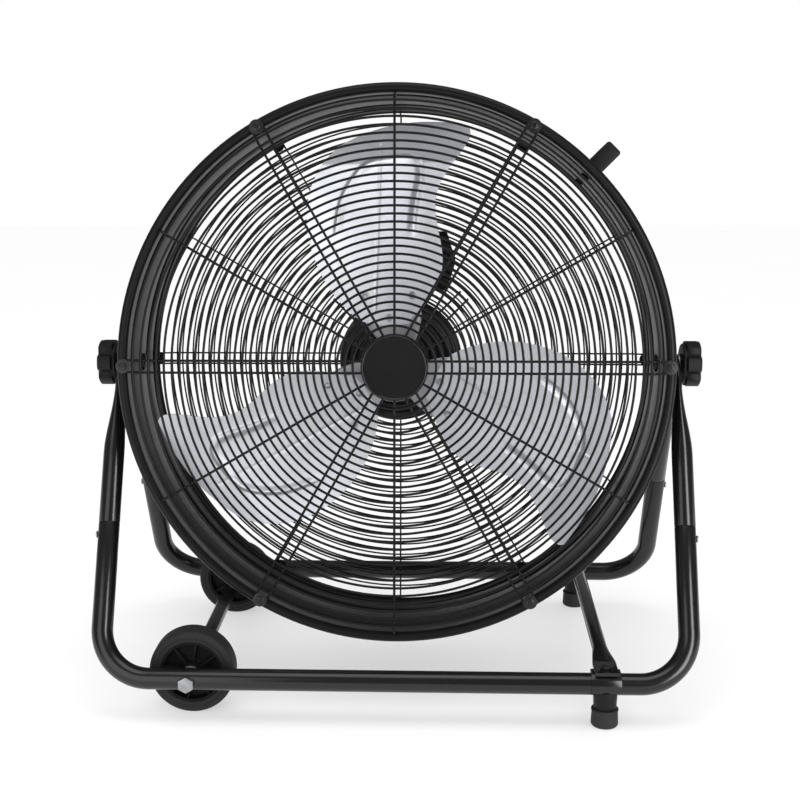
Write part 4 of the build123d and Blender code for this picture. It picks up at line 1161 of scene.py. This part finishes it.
def fitted_sheet(name, sides, thickness, depth, embossed, grid):
    """Grid fitted between root, tip, leading and trailing side, pressed onto the tool, made solid."""
    root, tip, lead, trail = sides
    nothing_selected()
    bpy.ops.mesh.primitive_grid_add(x_subdivisions=grid[0], y_subdivisions=grid[1], size=1)
    piece = bpy.context.object
    piece.name = name
    corners = (root[0], root[-1], tip[0], tip[-1])
    for vertex in piece.data.vertices:
        u, v = vertex.co.x + 0.5, vertex.co.y + 0.5
        spot = []
        for axis in (0, 1):
            across = (1 - v) * through(root, u)[axis] + v * through(tip, u)[axis]
            along = (1 - u) * through(lead, v)[axis] + u * through(trail, v)[axis]
            c = [corner[axis] * MM for corner in corners]
            both = (1 - v) * ((1 - u) * c[0] + u * c[1]) + v * ((1 - u) * c[2] + u * c[3])
            spot.append(across + along - both)
        vertex.co = on_sheet(*spot, depth, embossed)
    modified(piece, "SOLIDIFY", thickness=thickness, offset=-1)
    return rounded(piece, SHEET_EDGE, angle=50)


# %% Blades
BLADE_ROOT = [(-44, 52), (-16, 47), (15, 50)]
BLADE_TIP = [(-69, 263), (-8, 285), (84, 281)]
BLADE_LEAD = [(-44, 52), (-92, 105), (-111, 182), (-69, 263)]
BLADE_TRAIL = [(15, 50), (44, 89), (55, 125), (47, 174), (60, 229), (84, 281)]
OUTLINE = (BLADE_ROOT, BLADE_TIP, BLADE_LEAD, BLADE_TRAIL)
BLADES = 3
blank = fitted_sheet("blade_blank", OUTLINE, BLADE_SHEET, 0.0, True, (132, 184))
for k, turn in enumerate(around(BLADES), 1):
    blade = copied(blank, f"blade_{k}_finished", DRUM @ turn)
    dress(blade, "fan_rotor", "blade_aluminium", blade_metal, f"blade_{k}", smooth=40)
bpy.data.objects.remove(blank)

# %% [markdown]
# ## Spider and rivets
#
# Behind the blades a cast light-metal spider carries them: a hub with three arms that follow the blades'
# pitch. Three rivets hold each blade. A rivet's head is a small button in a groove, inside the thin rim
# that the tool leaves.

# %% Spider and rivets
ARM_ROOT = [(-18, 26), (0, 27), (20, 26)]
ARM_TIP = [(-50, 92), (-14, 95), (24, 95)]
ARM_LEAD = [(-18, 26), (-46, 66), (-50, 92)]
ARM_TRAIL = [(20, 26), (29, 74), (24, 95)]
ARM_OUTLINE = (ARM_ROOT, ARM_TIP, ARM_LEAD, ARM_TRAIL)
ARM_SHEET = 3 * MM
AIR = 0.1 * MM
RIVETS = ((20, 83), (-8, 56), (-38, 82))

arm = fitted_sheet("arm", ARM_OUTLINE, ARM_SHEET, BLADE_SHEET + AIR, False, (10, 14))
hub_line = steps_from(0, 0, (7, -16), (33, -16), (34, -15), (34, 15), (33, 16), (7, 16), (7, -16))
hub = lathe("hub", hub_line, 72)
placed(hub, moved(0, BLADE_MID, 0) @ ALONG_Y)
spider = placed(join("spider_finished", [hub] + copies(arm, "arm_copy", around(BLADES))), DRUM)
dress(spider, "fan_rotor", "spider_metal", cast_metal, "spider_hub")


def rivet_head():
    rim = steps_from(0, 0, (0, 0), (5, 0), (5, 0.3), (4.7, 0.5), (4.1, 0.5))
    groove = steps_from(0, 0, (3.9, 0.05), (3.2, 0.05))
    button = steps_from(0, 0, (3.0, 1.4), (2.6, 1.9), (1.6, 2.2), (0, 2.3))
    return lathe("rivet_head", rim + groove + button, 32)


def seat_on(spot, out):
    """Places a head at a spot, looking outwards."""
    return moved(*spot) @ out.to_track_quat("Z", "Y").to_matrix().to_4x4()


places = []
for x, z in RIVETS:
    spot = on_sheet(x * MM, z * MM, embossed=False)
    out = facing(x * MM, z * MM)
    behind = spot - out * (BLADE_SHEET + AIR + ARM_SHEET)
    for turn in around(BLADES):
        places += [DRUM @ turn @ seat_on(spot, out), DRUM @ turn @ seat_on(behind, -out)]
rivets = join("rivets_finished", copies(rivet_head(), "head", places))
dress(rivets, "fan_rotor", "rivet_aluminium", rivet_metal, "blade_rivets")
softened(0.8, "fan_rotor", "black_steel", dark_steel, "hub_nut")
softened(0.4, "fan_rotor", "shaft_steel", zinc, "motor_shaft")

# %% [markdown]
# ## Hidden pieces
#
# The inside of the motor and the switch box stays as the CAD has it. These nodes only get their finishes:
# laminated steel, lacquered copper, brass and moulded plastic.

# %% Finishes for the hidden nodes
copper = finish("lacquered_copper", (0.55, 0.23, 0.09), (0.3, 0.45), metal=1.0, ripple=(300.0, 0.1),
                dust=0.0)
core_steel = finish("core_laminations", (0.25, 0.25, 0.26), (0.4, 0.55), metal=1.0, ripple=(900.0, 0.1),
                    dust=0.0)
for material, nodes in (
    (copper, ("windings",)),
    (core_steel, ("stator", "rotor_core", "bearings")),
    (brass, ("left_knob_insert", "right_knob_insert")),
    (zinc, ("axle_nuts", "switch_spindle")),
    (knob_grain, ("speed_switch", "capacitor")),
):
    for node in nodes:
        mesh = frame["nodes"][node].data
        mesh.materials.clear()
        mesh.materials.append(material)
print("hidden nodes dressed")

# %% [markdown]
# ## Studio
#
# The photograph has a white ground and soft light from both sides, which draws narrow bright strips down
# the black tubes. The world is white for the camera and lights the floor evenly. Reflections see a dim
# room with softboxes instead, so black stays black. Lamps are flagged, as in a real studio: three panels
# reach only the rotor and are what the bright blades reflect, and the strong one at the right is kept off
# them. The floor is pale and keeps the soft shadow of the stand.

# %% World, floor and softboxes
WHITE = (1, 1, 1, 1)
PLAIN_WHITE_SHARE = 0.45
PLAIN_WHITE = 1.12
DIM_ROOM = 0.2
FLOOR_SIZE = 14


def studio_world():
    """Shader sockets go by number: output 0, and inputs 1 and 2 of a mix."""
    world = bpy.data.worlds.new("studio")
    bpy.context.scene.world = world
    world.use_nodes = True
    tree = world.node_tree
    tree.nodes.clear()
    rays = add_node(tree, "LightPath")
    seen = add_node(tree, "Background", Color=WHITE, Strength=1.0)
    room = add_node(tree, "Background", Color=WHITE, Strength=DIM_ROOM)
    mix = add_node(tree, "MixShader")
    out = add_node(tree, "OutputWorld")
    connect(tree, (rays, "Is Glossy Ray", mix, "Fac"), (seen, 0, mix, 1), (room, 0, mix, 2),
            (mix, 0, out, "Surface"))


def softbox(name, place, target, size, glow, lights=True):
    """Rectangular lamp of even glow; without `lights` it only draws its reflection."""
    data = bpy.data.lights.new(name, "AREA")
    data.shape = "RECTANGLE"
    data.size, data.size_y = size
    data.energy = glow * math.pi * size[0] * size[1]
    lamp = bpy.data.objects.new(name, data)
    bpy.context.scene.collection.objects.link(lamp)
    lamp.location = place
    lamp.rotation_euler = (Vector(target) - Vector(place)).to_track_quat("-Z", "Y").to_euler()
    lamp.visible_diffuse = lights
    lamp.visible_camera = False
    return lamp


def flagged(lamp, pieces, state):
    """INCLUDE: the lamp reaches only the pieces. EXCLUDE: it reaches everything else."""
    linked = bpy.data.collections.new(lamp.name + "_flag")
    for piece in pieces:
        linked.objects.link(piece)
    for item in linked.collection_objects:
        item.light_linking.link_state = state
    lamp.light_linking.receiver_collection = linked


def floor_material():
    """Pale floor. Camera and reflections see it mixed with plain white, so its shadow is softer."""
    made, tree, shader = new_material("studio_floor")
    where = add_node(tree, "TexCoord")
    noise = add_node(tree, "TexNoise", Scale=3.0, Detail=3.0)
    tint = colour_mix(tree, (0.90, 0.90, 0.90), (0.93, 0.93, 0.93))
    rays = add_node(tree, "LightPath")
    looked_at = add_node(tree, "Math", operation="MAXIMUM")
    share = add_node(tree, "Math", operation="MULTIPLY")
    share.inputs[1].default_value = PLAIN_WHITE_SHARE
    white = add_node(tree, "Emission", Color=WHITE, Strength=PLAIN_WHITE)
    mix = add_node(tree, "MixShader")
    connect(tree, (where, "Object", noise, "Vector"), (noise, "Fac", tint, "Factor"),
            (tint, COLOUR_OUT, shader, "Base Color"), (rays, "Is Camera Ray", looked_at, 0),
            (rays, "Is Glossy Ray", looked_at, 1), (looked_at, 0, share, 0), (share, 0, mix, "Fac"),
            (shader, 0, mix, 1), (white, 0, mix, 2), (mix, 0, tree.nodes["Material Output"], "Surface"))
    shader.inputs["Roughness"].default_value = 0.9
    return made


studio_world()
nothing_selected()
bpy.ops.mesh.primitive_plane_add(size=FLOOR_SIZE, location=(0, 0, 0))
floor = bpy.context.object
floor.name = "studio_floor"
floor.data.materials.append(floor_material())
floor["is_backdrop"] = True
MIDDLE = (0, 0, 0.38)
LOWER_LEFT = (-0.1, 0, 0.32)
right_panel = softbox("right_panel", (0.86, -1.0, 0.42), MIDDLE, (0.42, 1.3), 8.0, lights=False)
softbox("left_panel", (-0.70, -1.2, 0.45), MIDDLE, (0.8, 1.3), 1.6)
softbox("overhead", (0.1, -0.5, 2.4), MIDDLE, (1.8, 1.4), 1.9)
rotor_panel = softbox("rotor_panel", (-1.05, -1.1, 0.42), MIDDLE, (1.5, 1.2), 0.76)
upper_panel = softbox("upper_panel", (0.75, -1.1, 1.35), MIDDLE, (1.2, 0.9), 0.95)
low_panel = softbox("low_panel", (0.25, -0.8, 0.1), LOWER_LEFT, (1.0, 0.6), 1.6)
blades = [bpy.data.objects[f"blade_{k}_finished"] for k in (1, 2, 3)]
flagged(rotor_panel, blades + [bpy.data.objects["rivets_finished"]], "INCLUDE")
flagged(upper_panel, blades, "INCLUDE")
flagged(low_panel, blades, "INCLUDE")
flagged(right_panel, blades, "EXCLUDE")
print("studio set")

# %% [markdown]
# ## Camera
#
# The camera stands where the photograph was taken from: in front of the fan, a little right of its
# middle, 0.68 m up and looking down. Its place was worked out from round and straight features in the
# photograph.

# %% Camera
CAMERA_AT = Vector((62.75, -1584.3, 683.55)) * MM
YAW, PITCH_DOWN, ROLL = -0.038, 0.213, -0.004
LENS = 58.5
SENSOR = 36


def aim_camera():
    data = bpy.data.cameras.new("photo_view")
    data.lens = LENS
    data.sensor_width = SENSOR
    camera = bpy.data.objects.new("photo_view", data)
    bpy.context.scene.collection.objects.link(camera)
    flat, drop = math.cos(PITCH_DOWN), math.sin(PITCH_DOWN)
    ahead = Vector((math.sin(YAW) * flat, math.cos(YAW) * flat, -drop))
    level = Vector((math.cos(YAW), -math.sin(YAW), 0))
    above = level.cross(ahead)
    right = math.cos(ROLL) * level + math.sin(ROLL) * above
    up = math.cos(ROLL) * above - math.sin(ROLL) * level
    turn = Matrix((right, up, -ahead)).transposed().to_4x4()
    camera.matrix_world = Matrix.Translation(CAMERA_AT) @ turn
    bpy.context.scene.camera = camera


aim_camera()
bpy.context.scene.view_settings.view_transform = "Standard"

# %% [markdown]
# ## Room inside the CAD box
#
# The dressed model is meant to stay inside the CAD frame's box. The room left on each side is printed for
# each axis.

# %% Sizes
shown_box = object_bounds()
for axis, letter in enumerate("xyz"):
    room = (shown_box[0][axis] - cad_box[0][axis], cad_box[1][axis] - shown_box[1][axis])
    print(letter, "room inside the CAD box:", [round(r / MM, 2) for r in room], "mm")
